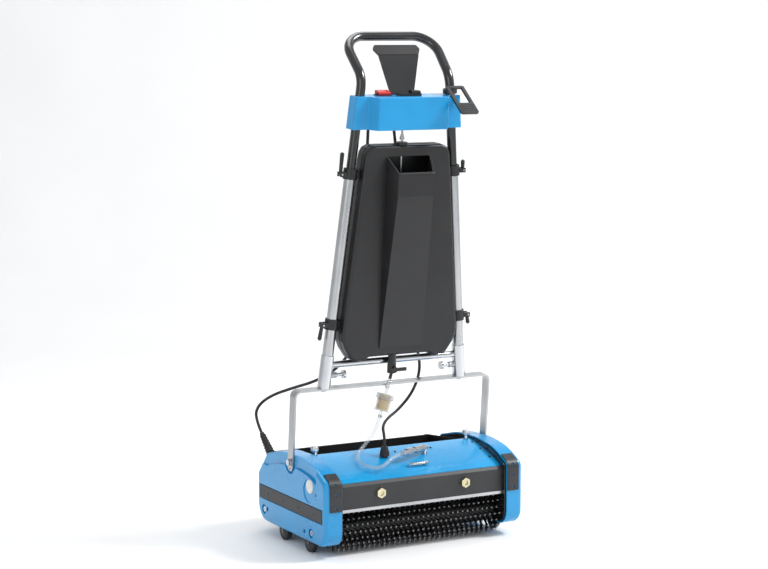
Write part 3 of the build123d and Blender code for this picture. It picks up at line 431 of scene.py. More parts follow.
FINISHES: dict[str, Finish] = {
    "blue_shell": Finish(Pattern.PAINT, (0.0015, 0.262, 0.575), (0.003, 0.300, 0.640), 0.28, 0.04,
                         coat=0.3, grain=0.0030, bump=0.00003),
    "blue_sheet": Finish(Pattern.PAINT, (0.002, 0.285, 0.610), (0.004, 0.325, 0.675), 0.26, 0.04,
                         coat=0.3, grain=0.0020, bump=0.00003),
    "grey_moulding": Finish(Pattern.GRAIN, (0.020, 0.021, 0.023), (0.030, 0.031, 0.034), 0.46,
                            0.05),
    "black_moulding": Finish(Pattern.GRAIN, (0.007, 0.007, 0.008), (0.012, 0.012, 0.013), 0.38,
                             0.06, grain=0.0015, bump=0.00006),
    "black_paint": Finish(Pattern.PAINT, (0.006, 0.006, 0.007), (0.011, 0.011, 0.012), 0.22, 0.04,
                          coat=0.6),
    "bare_tube": Finish(Pattern.BRUSHED, (0.42, 0.43, 0.44), (0.54, 0.55, 0.56), 0.28, 0.05,
                        metallic=1.0),
    "bare_steel": Finish(Pattern.BRUSHED, (0.36, 0.37, 0.38), (0.50, 0.51, 0.52), 0.30, 0.06,
                         metallic=1.0),
    "bright_chrome": Finish(Pattern.POLISHED, (0.50, 0.51, 0.53), (0.62, 0.63, 0.65), 0.12, 0.04,
                            metallic=1.0),
    "brass_nut": Finish(Pattern.BRUSHED, (0.58, 0.52, 0.32), (0.74, 0.68, 0.48), 0.30, 0.05,
                        metallic=1.0),
    "black_rubber": Finish(Pattern.RUBBER, (0.010, 0.010, 0.011), (0.018, 0.018, 0.019), 0.55,
                           0.06),
    "grey_rubber": Finish(Pattern.RUBBER, (0.038, 0.039, 0.042), (0.052, 0.053, 0.057), 0.55, 0.06),
    # bristle: black filaments; the light grey is a painted highlight on the tuft tips
    "bristle": Finish(Pattern.BRISTLE, (0.004, 0.004, 0.005), (0.50, 0.50, 0.51), 0.45),
    "clear_hose": Finish(Pattern.CLEAR, (0.40, 0.45, 0.48), (0.56, 0.60, 0.62), 0.10, 0.03,
                         alpha=0.27),
    # yellow_strainer: one yellow; its darker and lighter bands are painted shade in the pleat folds and painted
    # highlight on the crests
    "yellow_strainer": Finish(Pattern.PLEATED, (0.78, 0.42, 0.004), (0.95, 0.60, 0.015), 0.35, 0.05,
                              grain=0.0035, bump=0.0003),
    "red_flap": Finish(Pattern.PAINT, (0.50, 0.010, 0.006), (0.68, 0.022, 0.012), 0.24, 0.03,
                       coat=0.4),
    "white_cap": Finish(Pattern.GRAIN, (0.66, 0.66, 0.64), (0.78, 0.78, 0.76), 0.32, 0.04),
}
# Radii over which the painted tip highlight rises from black to light grey
TIP_HIGHLIGHT_FROM, TIP_HIGHLIGHT_TO = 0.0600, 0.0617
COAT_ROUGHNESS = 0.12
BROAD_SCALE = 9.0
FINE_DETAIL, BROAD_DETAIL = 3.0, 2.0
BUMP_STRENGTH = 0.6
CLEAR_IOR = 1.45
BRUSHED_STRETCH = (1.0, 1.0, 0.05)
RAMP_FROM, RAMP_TO = 0.3, 0.7
WAVE_BANDS = 0.31


class MaterialShop:
    """Makes one node material per slot, and keeps it."""

    def __init__(self) -> None:
        """Starts with no material made."""
        self.made: dict[str, bpy.types.Material] = {}

    def get(self, slot: str) -> bpy.types.Material:
        """Returns a slot's material, making it first when needed.

        Args:
            slot: Slot name of the record.

        Returns:
            The material.
        """
        if slot not in self.made:
            self.made[slot] = self.make(slot, FINISHES[slot])
        return self.made[slot]

    def make(self, name: str, finish: Finish) -> bpy.types.Material:
        """Builds the node tree of one finish.

        Args:
            name: Slot name.
            finish: Its facts.

        Returns:
            The material.
        """
        material = bpy.data.materials.new(name)
        material.use_nodes = True
        nodes, links = material.node_tree.nodes, material.node_tree.links
        shader = nodes["Principled BSDF"]
        shader.inputs["Metallic"].default_value = finish.metallic
        shader.inputs["Coat Weight"].default_value = finish.coat
        shader.inputs["Coat Roughness"].default_value = COAT_ROUGHNESS
        place = nodes.new("ShaderNodeTexCoord").outputs["Object"]
        fine = self.noise(nodes, links, place, 1.0 / finish.grain, FINE_DETAIL, finish.pattern)
        broad = self.noise(nodes, links, place, BROAD_SCALE, BROAD_DETAIL, Pattern.GRAIN)
        colour = self.ramp(nodes, links, broad, finish.dark, finish.light)
        if finish.pattern is Pattern.BRISTLE:
            # painted highlight on the bristle tips
            colour = self.painted_tip_highlight(nodes, links, place, finish)
        if finish.pattern is Pattern.PLEATED:
            # the pleat bands drive the bump and the colour: painted shade in the folds, painted highlight on the
            # crests
            fine = self.pleat_relief_and_shade(nodes, links, place, finish.grain)
            colour = self.ramp(nodes, links, fine, finish.dark, finish.light)
        links.new(colour, shader.inputs["Base Color"])
        spread = nodes.new("ShaderNodeMapRange")
        spread.inputs["To Min"].default_value = finish.rough - finish.spread
        spread.inputs["To Max"].default_value = finish.rough + finish.spread
        links.new(broad, spread.inputs["Value"])
        links.new(spread.outputs["Result"], shader.inputs["Roughness"])
        bump = nodes.new("ShaderNodeBump")
        bump.inputs["Distance"].default_value = finish.bump
        bump.inputs["Strength"].default_value = BUMP_STRENGTH
        links.new(fine, bump.inputs["Height"])
        links.new(bump.outputs["Normal"], shader.inputs["Normal"])
        if finish.alpha < 1.0:
            shader.inputs["Alpha"].default_value = finish.alpha
            shader.inputs["IOR"].default_value = CLEAR_IOR
            material.surface_render_method = "BLENDED"
        return material

    @staticmethod
    def noise(nodes: bpy.types.Nodes, links: bpy.types.NodeLinks, place: bpy.types.NodeSocket,
              scale: float, detail: float, pattern: Pattern) -> bpy.types.NodeSocket:
        """Adds a noise texture.

        Args:
            nodes: Nodes of the tree.
            links: Links of the tree.
            place: Coordinate socket.
            scale: Noise scale per metre.
            detail: Noise detail.
            pattern: A brushed pattern stretches the noise along Z.

        Returns:
            The noise's value socket.
        """
        noise = nodes.new("ShaderNodeTexNoise")
        noise.inputs["Scale"].default_value = scale
        noise.inputs["Detail"].default_value = detail
        if pattern is Pattern.BRUSHED:
            mapping = nodes.new("ShaderNodeMapping")
            mapping.inputs["Scale"].default_value = BRUSHED_STRETCH
            links.new(place, mapping.inputs["Vector"])
            place = mapping.outputs["Vector"]
        links.new(place, noise.inputs["Vector"])
        return noise.outputs["Fac"]

    @staticmethod
    def ramp(nodes: bpy.types.Nodes, links: bpy.types.NodeLinks, value: bpy.types.NodeSocket,
             dark: Sequence[float], light: Sequence[float]) -> bpy.types.NodeSocket:
        """Adds a colour ramp between two colours.

        Args:
            nodes: Nodes of the tree.
            links: Links of the tree.
            value: Driving value.
            dark: Colour at the low end.
            light: Colour at the high end.

        Returns:
            The colour socket.
        """
        ramp = nodes.new("ShaderNodeValToRGB")
        ramp.color_ramp.elements[0].position = RAMP_FROM
        ramp.color_ramp.elements[0].color = (*dark, 1.0)
        ramp.color_ramp.elements[1].position = RAMP_TO
        ramp.color_ramp.elements[1].color = (*light, 1.0)
        links.new(value, ramp.inputs["Fac"])
        return ramp.outputs["Color"]

    def painted_tip_highlight(self, nodes: bpy.types.Nodes, links: bpy.types.NodeLinks, place: bpy.types.NodeSocket,
             finish: Finish) -> bpy.types.NodeSocket:
        """Paints a highlight on the filaments' tips: lighter colour by distance from the brush axis.

        Args:
            nodes: Nodes of the tree.
            links: Links of the tree.
            place: Coordinate socket.
            finish: The bristle's facts.

        Returns:
            The colour socket.
        """
        low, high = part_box("brush_front_core")
        axis_z = (low[2] + high[2]) / 2
        rear_low, rear_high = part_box("brush_rear_core")
        middle_y = (low[1] + high[1] + rear_low[1] + rear_high[1]) / 4
        half = (rear_low[1] + rear_high[1]) / 2 - middle_y
        split = nodes.new("ShaderNodeSeparateXYZ")
        links.new(place, split.inputs["Vector"])

        def math_node(operation: str, a: bpy.types.NodeSocket, b: float) -> bpy.types.NodeSocket:
            """Value socket of one sum on a socket and a number."""
            node = nodes.new("ShaderNodeMath")
            node.operation = operation
            links.new(a, node.inputs[0])
            node.inputs[1].default_value = b
            return node.outputs["Value"]

        out_y = math_node("SUBTRACT", split.outputs["Y"], middle_y)
        out_y = math_node("SUBTRACT", math_node("ABSOLUTE", out_y, 0.0), half)
        out_z = math_node("SUBTRACT", split.outputs["Z"], axis_z)
        join = nodes.new("ShaderNodeCombineXYZ")
        links.new(out_y, join.inputs["Y"])
        links.new(out_z, join.inputs["Z"])
        length = nodes.new("ShaderNodeVectorMath")
        length.operation = "LENGTH"
        links.new(join.outputs["Vector"], length.inputs[0])
        reach = nodes.new("ShaderNodeMapRange")
        reach.inputs["From Min"].default_value = TIP_HIGHLIGHT_FROM
        reach.inputs["From Max"].default_value = TIP_HIGHLIGHT_TO
        links.new(length.outputs["Value"], reach.inputs["Value"])
        return self.ramp(nodes, links, reach.outputs["Result"], finish.dark, finish.light)

    @staticmethod
    def pleat_relief_and_shade(nodes: bpy.types.Nodes, links: bpy.types.NodeLinks, place: bpy.types.NodeSocket,
               pitch: float) -> bpy.types.NodeSocket:
        """Adds bands up the strainer; they drive the pleat bump and also the painted shade in the folds and
        painted highlight on the crests.

        Args:
            nodes: Nodes of the tree.
            links: Links of the tree.
            place: Coordinate socket.
            pitch: Distance between bands in metres.

        Returns:
            The band value socket.
        """
        wave = nodes.new("ShaderNodeTexWave")
        wave.bands_direction = "Z"
        wave.inputs["Scale"].default_value = WAVE_BANDS / pitch
        links.new(place, wave.inputs["Vector"])
        return wave.outputs["Fac"]


SHOP = MaterialShop()


def dress(piece: bpy.types.Object, slot: str, body: Optional[str],
          *replaced: str) -> bpy.types.Object:
    """Gives a piece its material, slot and body.

    Args:
        piece: New object.
        slot: Material slot of the record.
        body: Body that it rides on, or None when it bends between two.
        replaced: CAD nodes that it stands for.

    Returns:
        The piece.
    """
    piece.data.materials.clear()
    piece.data.materials.append(SHOP.get(slot))
    if body is not None:
        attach(piece, body)
    if replaced:
        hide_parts(*replaced)
    return piece


def dress_nodes() -> None:
    """Gives every CAD node the node material of its slot."""
    for entry in frame["record"]["subparts"]:
        node = NODES[entry["node"]]
        material = SHOP.get(entry["material_slot"])
        for holder in node.material_slots:
            holder.material = material
        if not node.material_slots:
            node.data.materials.append(material)


# ---------------------------------------------------------------- the handle's own frame
TILT = next(j for j in frame["joints"] if j["name"] == "handle_tilt")
UP_HANDLE = Vector(next(j for j in frame["joints"] if j["name"] == "rod_pull")["axis"]).normalized()
PIVOT = Vector(TILT["pos_m"])
BACK_HANDLE = UP_HANDLE.cross(Vector((1, 0, 0))).normalized()


def on_handle(x: float, back: float, up: float) -> Point:
    """Point given in the handle's own frame.

    Args:
        x: Distance to the right of the middle.
        back: Distance behind the tube plane.
        up: Height above the pivot.

    Returns:
        The point in the row frame.
    """
    return tuple(PIVOT + Vector((x, 0, 0)) + BACK_HANDLE * back + UP_HANDLE * up)


# ---------------------------------------------------------------- pieces
@dataclass
class Cords:
    """Hoses and cables.

    Args:
        specs: The cords to lay.
    """

    specs: Sequence[CordSpec] = CORDS

    def build(self) -> None:
        """Lays every cord."""
        for spec in self.specs:
            line = route_line(spec.points)
            piece = Solid().tube(line, spec.diameter / 2).build(spec.name)
            bends = spec.start != spec.finish
            dress(piece, spec.slot, None if bends else spec.start,
                  *([spec.node] if spec.node else []))
            if bends:
                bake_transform(piece)


@dataclass
class Brushes:
    """Tufted brush rollers.

    Args:
        rows: Tuft rows round the roller.
        pitch: Distance between tufts along it, in metres.
        filaments: Filaments in each tuft.
        margin: Length of roller without tufts, both ends together.
        core_share: Core radius as a share of the brush radius.
        stagger: Shift of every other row, as a share of the pitch.
        filament: Filament radius.
        foot_spread: Radius of a tuft at its foot.
        tip_spread: How much farther its tips may spread.
        trim: Most that a filament falls short of the full radius.
    """

    rows: int = 22
    pitch: float = 0.0152
    filaments: int = 14
    margin: float = 0.012
    core_share: float = 0.475
    stagger: float = 0.25
    filament: float = 0.00055
    foot_spread: float = 0.0014
    tip_spread: float = 0.0023
    trim: float = 0.0016

    def build(self) -> None:
        """Builds both brushes."""
        for name in ("brush_front", "brush_rear"):
            self.brush(name)

    def brush(self, body: str) -> None:
        """Builds the tufts of one brush.

        Args:
            body: Body of the brush.
        """
        source = random.Random(SEED)
        low, high = (Vector(corner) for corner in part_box(f"{body}_bristles"))
        axis = (low + high) / 2
        reach = (high.z - low.z) / 2
        core = reach * self.core_share
        along = int((high.x - low.x - self.margin) / self.pitch)
        start = axis.x - self.pitch * along / 2
        solid = Solid()
        for row in range(self.rows):
            turn = math.tau * row / self.rows
            shift = self.stagger * self.pitch * (1 if row % 2 else -1)
            for k in range(along + 1):
                foot = Vector((start + self.pitch * k + shift, axis.y, axis.z))
                self.tuft(solid, source, foot, turn, core, reach)
        dress(solid.build(f"{body}_tufts", smooth=False), "bristle", body, f"{body}_bristles")

    def tuft(self, solid: Solid, source: random.Random, axis: Vector, turn: float, core: float,
             reach: float) -> None:
        """Adds one tuft of filaments.

        Args:
            solid: Mesh so far.
            source: Seeded random source.
            axis: Point on the brush axis.
            turn: Angle of the tuft.
            core: Radius where it starts.
            reach: Radius where it ends.
        """
        outward = Vector((0, math.cos(turn), math.sin(turn)))
        side = Vector((0, -math.sin(turn), math.cos(turn)))
        along = Vector((1, 0, 0))
        for _ in range(self.filaments):
            bearing, spread = source.uniform(0, math.tau), math.sqrt(source.random())
            shift = along * math.cos(bearing) * spread + side * math.sin(bearing) * spread
            foot = axis + outward * core + shift * self.foot_spread
            short = source.uniform(0.0, self.trim)
            tip = axis + outward * (reach - short) + shift * self.tip_spread
            tip -= outward * max((tip - axis).length - reach, 0.0)
            first = len(solid.verts)
            for centre in (foot, tip):
                for corner in range(3):
                    a = math.tau * corner / 3 + bearing
                    arm = along * math.cos(a) + side * math.sin(a)
                    solid.verts.append(centre + arm * self.filament)
            for corner in range(3):
                m = (corner + 1) % 3
                solid.faces.append((first + corner, first + m, first + 3 + m, first + 3 + corner))
            solid.faces.append((first + 3, first + 4, first + 5))
            solid.faces.append((first + 2, first + 1, first))


# ---------------------------------------------------------------- small parts
Band = tuple[float, float, float]

SCREW_HEAD = ((0.0, 1.0), (0.55, 1.0), (0.9, 0.82), (1.0, 0.55), (1.0, 0.44), (0.35, 0.42))
SCREW_COUNT = 20
SINK = 0.0003
KNURL_COUNT, KNURL_RIBS = 72, 24
ABOVE_COVER = 0.4
DOWN: Point = (0, 0, -1)
SIDES = ((-1, "left"), (1, "right"))
HUB_PROFILE = ((0.0, 0.0150), (0.0016, 0.0142), (0.0016, 0.0095), (0.0006, 0.0088),
               (0.0006, 0.0062), (0.0024, 0.0058))
DOME_PROFILE = ((0.0, 0.99), (0.0014, 0.90), (0.0022, 0.72), (0.0026, 0.40))
HUB_SINK, DOME_SINK = 0.0004, 0.0006


def seat(node: str, start: Point, direction: Point) -> tuple[Vector, Vector]:
    """Finds where a line meets a CAD node.

    Args:
        node: CAD node.
        start: Start of the line, in metres.
        direction: Its direction.

    Returns:
        The meeting point and the surface's outward direction there.
    """
    hit, place, normal, _ = NODES[node].ray_cast(Vector(start), Vector(direction).normalized())
    if not hit:
        raise ValueError(f"no surface of {node} lies on the line from {start}")
    if normal.dot(Vector(direction)) > 0:
        normal = -normal
    return place.copy(), normal.copy()


def add_screw(solid: Solid, place: Vector, outward: Vector, radius: float, height: float) -> None:
    """Adds a socket-head screw seated on a surface.

    Args:
        solid: Mesh so far.
        place: Point on the surface.
        outward: Direction out of the surface.
        radius: Head radius in metres.
        height: Head height in metres.
    """
    foot = place - outward * SINK
    profile = [(share * height, size * radius) for share, size in SCREW_HEAD]
    solid.lathe(tuple(foot), tuple(foot + outward), profile, count=SCREW_COUNT)


def ring_profile(outer: float, inner: float, width: float) -> list[tuple[float, float]]:
    """Profile of a plain band with small chamfers.

    Args:
        outer: Outer radius in metres.
        inner: Radius at its two edges.
        width: Width in metres.

    Returns:
        (distance, radius) pairs.
    """
    chamfer = min(outer - inner, width / 4)
    return [(0.0, inner), (0.0, outer - chamfer), (chamfer, outer), (width - chamfer, outer),
            (width, outer - chamfer), (width, inner)]


def between(a: Point, b: Point, share: float) -> Vector:
    """Point part of the way from one point to another.

    Args:
        a: First point.
        b: Second point.
        share: Share of the way.

    Returns:
        The point.
    """
    return Vector(a).lerp(Vector(b), share)


@dataclass(frozen=True)
class RibRow:
    """Evenly spaced ribs up a tapered sleeve.

    Args:
        count: Number of ribs.
        first: Share of the way up where the first one stands.
        step: Share of the way from one rib to the next.
        foot: Sleeve radius at its foot, in metres.
        tip: Sleeve radius at its tip.
        proud: How far a rib stands out of the sleeve.
        depth: How far its edges fall back.
        width: Width of a rib.
    """

    count: int
    first: float
    step: float
    foot: float
    tip: float
    proud: float
    depth: float
    width: float

    def add(self, solid: Solid, start: Point, end: Point) -> None:
        """Adds the ribs.

        Args:
            solid: Mesh so far.
            start: Foot of the sleeve.
            end: Tip of the sleeve.
        """
        for k in range(self.count):
            share = self.first + self.step * k
            radius = self.foot + (self.tip - self.foot) * share + self.proud
            band = ring_profile(radius, radius - self.depth, self.width)
            solid.lathe(tuple(between(start, end, share)), end, band, 36)


@dataclass
class ChassisDetails:
    """Small visible parts of the chassis.

    Args:
        knob: Middle of the right thumb knob, at its foot.
        coupling: Start and end of the quick coupling.
        gland: Foot and top of the strain relief on the top cover.
        boot: Foot and tip of the boot on the left cover.
        port: Middle of the round port.
        knob_band: Knurled band of a knob: outer radius, edge radius and width.
        sleeve: Knurled sleeve of the coupling, in the same way.
        sleeve_at: Share of the way along the coupling where the sleeve starts.
        collars: (share of the way, radius, width) of its plain collars.
        collar_slope: How far a collar's edges fall back.
        boot_ribs: Ribs of the boot.
        gland_ribs: Ribs of the gland.
        port_rings: Radii of the port's rings.
        port_wire: Radius of a ring's section.
        cover_screws: Places of the top cover's screws, seen from above.
        screw: Head radius and height of such a screw.
        rest: Places of the hose rest's two posts, seen from above.
        rest_lift: Height of its bar above the cover.
        rest_bar: Outer and edge radius of its bar.
        rest_post: Band of its posts.
    """

    knob: Point = (0.234, -0.030, 0.2515)
    coupling: tuple[Point, Point] = ((0.065, -0.095, 0.243), (-0.028, -0.137, 0.243))
    gland: tuple[Point, Point] = ((-0.055, -0.089, 0.241), (-0.055, -0.089, 0.257))
    boot: tuple[Point, Point] = ((-0.276, 0.141, 0.2085), (-0.276, 0.205, 0.262))
    port: Point = (-0.270, 0.1872, 0.146)
    knob_band: Band = (0.0106, 0.0090, 0.0105)
    sleeve: Band = (0.0112, 0.0095, 0.019)
    sleeve_at: float = 0.62
    collars: tuple[Band, ...] = ((0.06, 0.0098, 0.004), (0.30, 0.0098, 0.004),
                                 (0.90, 0.0078, 0.005))
    collar_slope: float = 0.0015
    boot_ribs: RibRow = RibRow(7, 0.16, 0.115, 0.0110, 0.0065, 0.0016, 0.0022, 0.0042)
    gland_ribs: RibRow = RibRow(3, 0.15, 0.27, 0.0120, 0.0080, 0.0008, 0.0016, 0.0022)
    port_rings: tuple[float, float] = (0.0116, 0.0088)
    port_wire: float = 0.0007
    cover_screws: tuple[tuple[float, float], ...] = (
        (-0.236, -0.150), (-0.236, -0.105), (-0.236, -0.060), (0.236, -0.150), (0.236, -0.105),
        (0.236, -0.060), (-0.01, -0.066), (0.10, -0.066),
    )
    screw: tuple[float, float] = (0.0040, 0.0022)
    rest: tuple[tuple[float, float], ...] = ((-0.012, -0.152), (0.036, -0.152))
    rest_lift: float = 0.0062
    rest_bar: tuple[float, float] = (0.0042, 0.0030)
    rest_post: Band = (0.0058, 0.0045, 0.0105)

    def build(self) -> None:
        """Builds every chassis detail."""
        self.bright_parts()
        self.rubber_parts()
        self.screws()
        self.wheel_hubs()
        self.cap_rings()
        self.hose_rest()

    def bright_parts(self) -> None:
        """Knurled knobs and coupling sleeve."""
        solid = Solid()
        x, y, z = self.knob
        for side, _ in SIDES:
            foot = (side * x, y, z)
            solid.lathe(foot, (side * x, y, z + 1), ring_profile(*self.knob_band),
                        KNURL_COUNT, KNURL_RIBS, depth=0.0008)
        a, b = self.coupling
        start = between(a, b, self.sleeve_at)
        solid.lathe(tuple(start), b, ring_profile(*self.sleeve), KNURL_COUNT, KNURL_RIBS,
                    depth=0.0007)
        for share, radius, width in self.collars:
            band = ring_profile(radius, radius - self.collar_slope, width)
            solid.lathe(tuple(between(a, b, share)), b, band)
        dress(solid.build("knurled_bright_parts"), "bright_chrome", "chassis")

    def rubber_parts(self) -> None:
        """Ribs of the boot and the gland, and the rings of the port."""
        solid = Solid()
        self.boot_ribs.add(solid, *self.boot)
        self.gland_ribs.add(solid, *self.gland)
        x, y, z = self.port
        steps = 40
        for radius in self.port_rings:
            ring = [Vector((x + radius * math.cos(a), y, z + radius * math.sin(a)))
                    for a in (math.tau * k / steps for k in range(steps))]
            solid.tube(ring, self.port_wire, 8, closed=True)
        dress(solid.build("rubber_ribs"), "black_rubber", "chassis")

    def screws(self) -> None:
        """Dark screws of the top cover."""
        solid = Solid()
        for x, y in self.cover_screws:
            add_screw(solid, *seat("top_cover", (x, y, ABOVE_COVER), DOWN), *self.screw)
        dress(solid.build("chassis_screws"), "black_paint", "chassis")

    @staticmethod
    def wheel_hubs() -> None:
        """Hub face on each support wheel."""
        for end in ("front", "rear"):
            for side, name in SIDES:
                low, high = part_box(f"wheel_{end}_{name}")
                middle = (low + high) / 2
                outer = max(abs(low.x), abs(high.x))
                face = (side * (outer - HUB_SINK), middle.y, middle.z)
                hub = Solid().lathe(face, (face[0] + side, face[1], face[2]), HUB_PROFILE)
                dress(hub.build(f"wheel_hub_{end}_{name}"), "grey_moulding", f"wheel_{end}_{name}")

    def hose_rest(self) -> None:
        """Small bright clip on the top cover in front of the coupling."""
        solid = Solid()
        ends = [seat("top_cover", (x, y, ABOVE_COVER), DOWN) for x, y in self.rest]
        a, b = (place + normal * self.rest_lift for place, normal in ends)
        solid.lathe(tuple(a), tuple(b), ring_profile(*self.rest_bar, (b - a).length), 24)
        for place, normal in ends:
            foot = tuple(place - normal * SINK)
            solid.lathe(foot, tuple(place + normal), ring_profile(*self.rest_post), 24)
        dress(solid.build("hose_rest"), "bright_chrome", "chassis")

    @staticmethod
    def cap_rings() -> None:
        """Domed face of the round white caps on the covers."""
        low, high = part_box("side_caps")
        y, z, radius = (low.y + high.y) / 2, (low.z + high.z) / 2, (high.z - low.z) / 2
        solid = Solid()
        profile = [(distance, radius * share) for distance, share in DOME_PROFILE]
        for side, _ in SIDES:
            face = (side * (high.x - DOME_SINK), y, z)
            solid.lathe(face, (face[0] + side, y, z), profile, 48)
        dress(solid.build("cap_domes"), "white_cap", "chassis")


SEAM_CENTRE: Point = (0.0, -0.009, 0.56)
SEAM_STEPS = 240
SEAM_REACH = 0.6
SEAM_LOW, SEAM_HIGH = 0.2675, 0.8405


@dataclass
class HandleDetails:
    """Small visible parts of the handle, the tank and the head.

    Args:
        strainer: Foot and top of the strainer.
        barb: End of the short hose above the strainer.
        lip_back: Mouth lip behind the tube plane, in metres.
        lip_up: Mouth lip above the pivot.
        top_back: Top edge of the mouth behind the tube plane.
        top_up: Top edge of the mouth above the pivot.
        mouth_half: Half the mouth's width at the tank.
        lip_half: Half the mouth's width at its lip.
        rim_inset: How far the rim's upper ends lie behind the mouth's top edge.
        rim_shares: Places of the points along each side of the rim.
        rim_wire: Radius of the rolled rim.
        seam_wire: Radius of the moulding seam.
        rib_band: Fluted band of the strainer's cap: outer radius, edge radius and width.
        rib_at: Share of the way up the strainer where it starts.
        threads: (share of the way, radius) of the bowl's threads.
        hose_band: Band of a hose clamp.
        hose_band_at: Distance of a hose clamp from the hose's end.
        screw_columns: Distances of the box screws from the middle.
        screw_rows: Heights of the box screws above the pivot.
        box_screw: Head radius and height of a box screw.
        ties: Shares of the way down the leads where the ties are.
        tie: Band of a tie.
    """

    strainer: tuple[Point, Point] = ((-0.049, -0.056, 0.339), (-0.0292, -0.056, 0.4034))
    barb: Point = (-0.0206, -0.056, 0.4313)
    lip_back: float = -0.079
    lip_up: float = 0.772
    top_back: float = -0.033
    top_up: float = 0.812
    mouth_half: float = 0.0655
    lip_half: float = 0.0528
    rim_inset: float = 0.002
    rim_shares: tuple[float, ...] = (0.0, 0.06, 0.5, 0.94)
    rim_wire: float = 0.0017
    seam_wire: float = 0.0011
    rib_band: Band = (0.0242, 0.0226, 0.0135)
    rib_at: float = 0.605
    threads: tuple[tuple[float, float], ...] = ((0.115, 0.0208), (0.555, 0.0210))
    hose_band: Band = (0.0060, 0.0050, 0.0060)
    hose_band_at: float = 0.0035
    screw_columns: tuple[float, ...] = (-0.118, -0.045, 0.045, 0.118)
    screw_rows: tuple[float, float] = (0.896, 0.954)
    box_screw: tuple[float, float] = (0.0036, 0.0020)
    ties: tuple[float, float] = (0.18, 0.62)
    tie: Band = (0.0050, 0.0040, 0.0036)

    def build(self) -> None:
        """Builds every handle detail."""
        self.tank_trim()
        self.strainer_rings()
        self.hose_bands()
        self.box_screws()
        self.cable_ties()

    def tank_trim(self) -> None:
        """Moulding seam round the tank and the rolled rim of its mouth."""
        solid = Solid()
        solid.tube(self.seam_line(), self.seam_wire, 8, closed=True)
        wide, narrow = self.mouth_half, self.lip_half
        back = self.top_back + self.rim_inset
        rim = [(-wide, back, self.top_up), (-narrow, self.lip_back, self.lip_up),
               (narrow, self.lip_back, self.lip_up), (wide, back, self.top_up)]
        line: list[Vector] = []
        for a, b in zip(rim, rim[1:]):
            start, end = Vector(on_handle(*a)), Vector(on_handle(*b))
            line += [start.lerp(end, share) for share in self.rim_shares]
        line.append(Vector(on_handle(*rim[-1])))
        solid.tube(line, self.rim_wire, 12)
        dress(solid.build("tank_trim"), "black_moulding", "handle")

    @staticmethod
    def seam_line() -> list[Vector]:
        """Follows the tank's widest outline.

        Returns:
            Points round the tank.
        """
        centre = Vector(on_handle(*SEAM_CENTRE))
        line = []
        for k in range(SEAM_STEPS):
            turn = math.tau * (k + 0.5) / SEAM_STEPS
            out = Vector((math.cos(turn), 0, 0)) + UP_HANDLE * math.sin(turn)
            hit, place, _, _ = NODES["fresh_water_tank"].ray_cast(centre + out * SEAM_REACH, -out)
            up = (place - PIVOT).dot(UP_HANDLE)
            if hit and SEAM_LOW < up < SEAM_HIGH:
                line.append(place.copy())
        return line

    def strainer_rings(self) -> None:
        """Grip ribs and threads of the strainer's bowl and cap."""
        foot, top = self.strainer
        solid = Solid()
        start = tuple(between(foot, top, self.rib_at))
        solid.lathe(start, top, ring_profile(*self.rib_band), 96, 32, depth=0.0009)
        for share, radius in self.threads:
            thread = ring_profile(radius, radius - 0.0014, 0.0026)
            solid.lathe(tuple(between(foot, top, share)), top, thread, 48)
        dress(solid.build("strainer_rings"), "clear_hose", "handle")

    def hose_bands(self) -> None:
        """Worm-drive bands on the hose ends."""
        top = self.strainer[1]
        solid = Solid()
        for start, end in ((HOSE_ROUTE[0], HOSE_ROUTE[1]), (top, self.barb), (self.barb, top)):
            direction = (Vector(end) - Vector(start)).normalized()
            place = Vector(start) + direction * self.hose_band_at
            solid.lathe(tuple(place), tuple(place + direction), ring_profile(*self.hose_band))
            side, _ = across(direction)
            screw = place + direction * 0.003 + side * 0.0068
            along = direction.cross(side)
            head = [(0, 0.0018), (0.008, 0.0018)]
            solid.lathe(tuple(screw - along * 0.004), tuple(screw + along), head, 12)
        dress(solid.build("hose_bands"), "bright_chrome", "handle")

    def box_screws(self) -> None:
        """Screws that hold the control box's back shell."""
        solid = Solid()
        forward = tuple(-BACK_HANDLE)
        for x in self.screw_columns:
            for up in self.screw_rows:
                start = on_handle(x, 0.12, up)
                add_screw(solid, *seat("control_box", start, forward), *self.box_screw)
        dress(solid.build("box_screws"), "bare_steel", "handle")

    def cable_ties(self) -> None:
        """Ties round the two leads below the control box."""
        solid = Solid()
        for route in LEAD_ROUTES:
            for share in self.ties:
                start, end = Vector(route[0]), Vector(route[1])
                place = start.lerp(end, share)
                direction = (end - start).normalized()
                solid.lathe(tuple(place), tuple(place + direction), ring_profile(*self.tie), 24)
        dress(solid.build("cable_ties"), "white_cap", "handle")


# ---------------------------------------------------------------- studio
@dataclass(frozen=True)
class Lamp:
    """One soft lamp.

    Args:
        name: Object name.
        place: Where it stands, in metres.
        aim: Point that it faces.
        size: Side of the lamp in metres.
        power: Power in watts.
    """

    name: str
    place: Point
    aim: Point
    size: float
    power: float


LAMPS = (
    Lamp("key", (3.0, -1.6, 3.6), (0.0, 0.0, 0.4), 1.2, 170.0),
    Lamp("fill", (-3.4, -2.8, 1.9), (0.0, 0.0, 0.5), 2.6, 34.0),
    Lamp("top", (0.3, 0.8, 3.8), (0.0, 0.0, 0.6), 2.0, 50.0),
)
WORLD_COLOUR = (0.93, 0.95, 0.97, 1.0)
WORLD_STRENGTH = 0.66
BACKDROP_TURN = math.radians(-28.9)
PAPER_DARK, PAPER_LIGHT = (0.90, 0.90, 0.90), (0.93, 0.93, 0.93)
PAPER_ROUGHNESS = 0.9


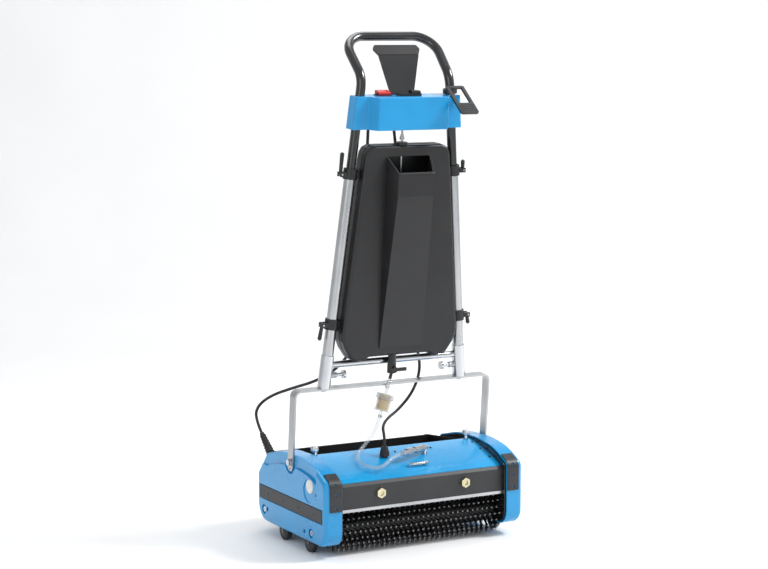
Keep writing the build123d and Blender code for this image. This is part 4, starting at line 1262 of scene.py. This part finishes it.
@dataclass
class Studio:
    """Floor, backdrop and lamps.

    Args:
        lamps: Lamps to place.
    """

    lamps: Sequence[Lamp] = LAMPS

    def build(self) -> None:
        """Builds the studio."""
        self.sweep()
        for lamp in self.lamps:
            self.light(lamp)
        world = bpy.data.worlds.new("studio")
        world.use_nodes = True
        background = world.node_tree.nodes["Background"]
        background.inputs["Color"].default_value = WORLD_COLOUR
        background.inputs["Strength"].default_value = WORLD_STRENGTH
        bpy.context.scene.world = world
        bpy.context.scene.view_settings.view_transform = "Standard"

    @staticmethod
    def sweep() -> None:
        """Builds the pale floor that curves up into a backdrop."""
        half, front, back, top = 9.0, -7.0, 4.5, 7.0
        bend, steps = 1.6, 16
        rows = [(front, 0.0), (back - bend, 0.0)]
        rows += [(back - bend + bend * math.sin(a), bend - bend * math.cos(a))
                 for a in (math.pi / 2 * k / steps for k in range(1, steps + 1))]
        rows.append((back, top))
        verts = [(x, y, z) for y, z in rows for x in (-half, half)]
        faces = [(2 * k, 2 * k + 1, 2 * k + 3, 2 * k + 2) for k in range(len(rows) - 1)]
        floor = link_mesh("studio_sweep", verts, faces)
        turn = Matrix.Rotation(BACKDROP_TURN, 4, "Z")
        floor.data.transform(turn)
        material = bpy.data.materials.new("studio_paper")
        material.use_nodes = True
        nodes, links = material.node_tree.nodes, material.node_tree.links
        place = nodes.new("ShaderNodeTexCoord").outputs["Object"]
        grain = MaterialShop.noise(nodes, links, place, 2.0, 2.0, Pattern.GRAIN)
        colour = MaterialShop.ramp(nodes, links, grain, PAPER_DARK, PAPER_LIGHT)
        links.new(colour, nodes["Principled BSDF"].inputs["Base Color"])
        nodes["Principled BSDF"].inputs["Roughness"].default_value = PAPER_ROUGHNESS
        floor.data.materials.append(material)

    @staticmethod
    def light(lamp: Lamp) -> None:
        """Adds one lamp.

        Args:
            lamp: Its facts.
        """
        data = bpy.data.lights.new(lamp.name, "AREA")
        data.size = lamp.size
        data.energy = lamp.power
        holder = bpy.data.objects.new(lamp.name, data)
        bpy.context.scene.collection.objects.link(holder)
        look = (Vector(lamp.aim) - Vector(lamp.place)).normalized()
        turn = look.to_track_quat("-Z", "Y").to_matrix().to_4x4()
        holder.matrix_world = Matrix.Translation(lamp.place) @ turn


def main() -> None:
    """Builds the looks of the whole machine."""
    logging.basicConfig(level=logging.INFO)
    add_camera()
    Cords().build()
    dress_nodes()
    Brushes().build()
    ChassisDetails().build()
    HandleDetails().build()
    Studio().build()


if __name__ == "__main__":
    main()
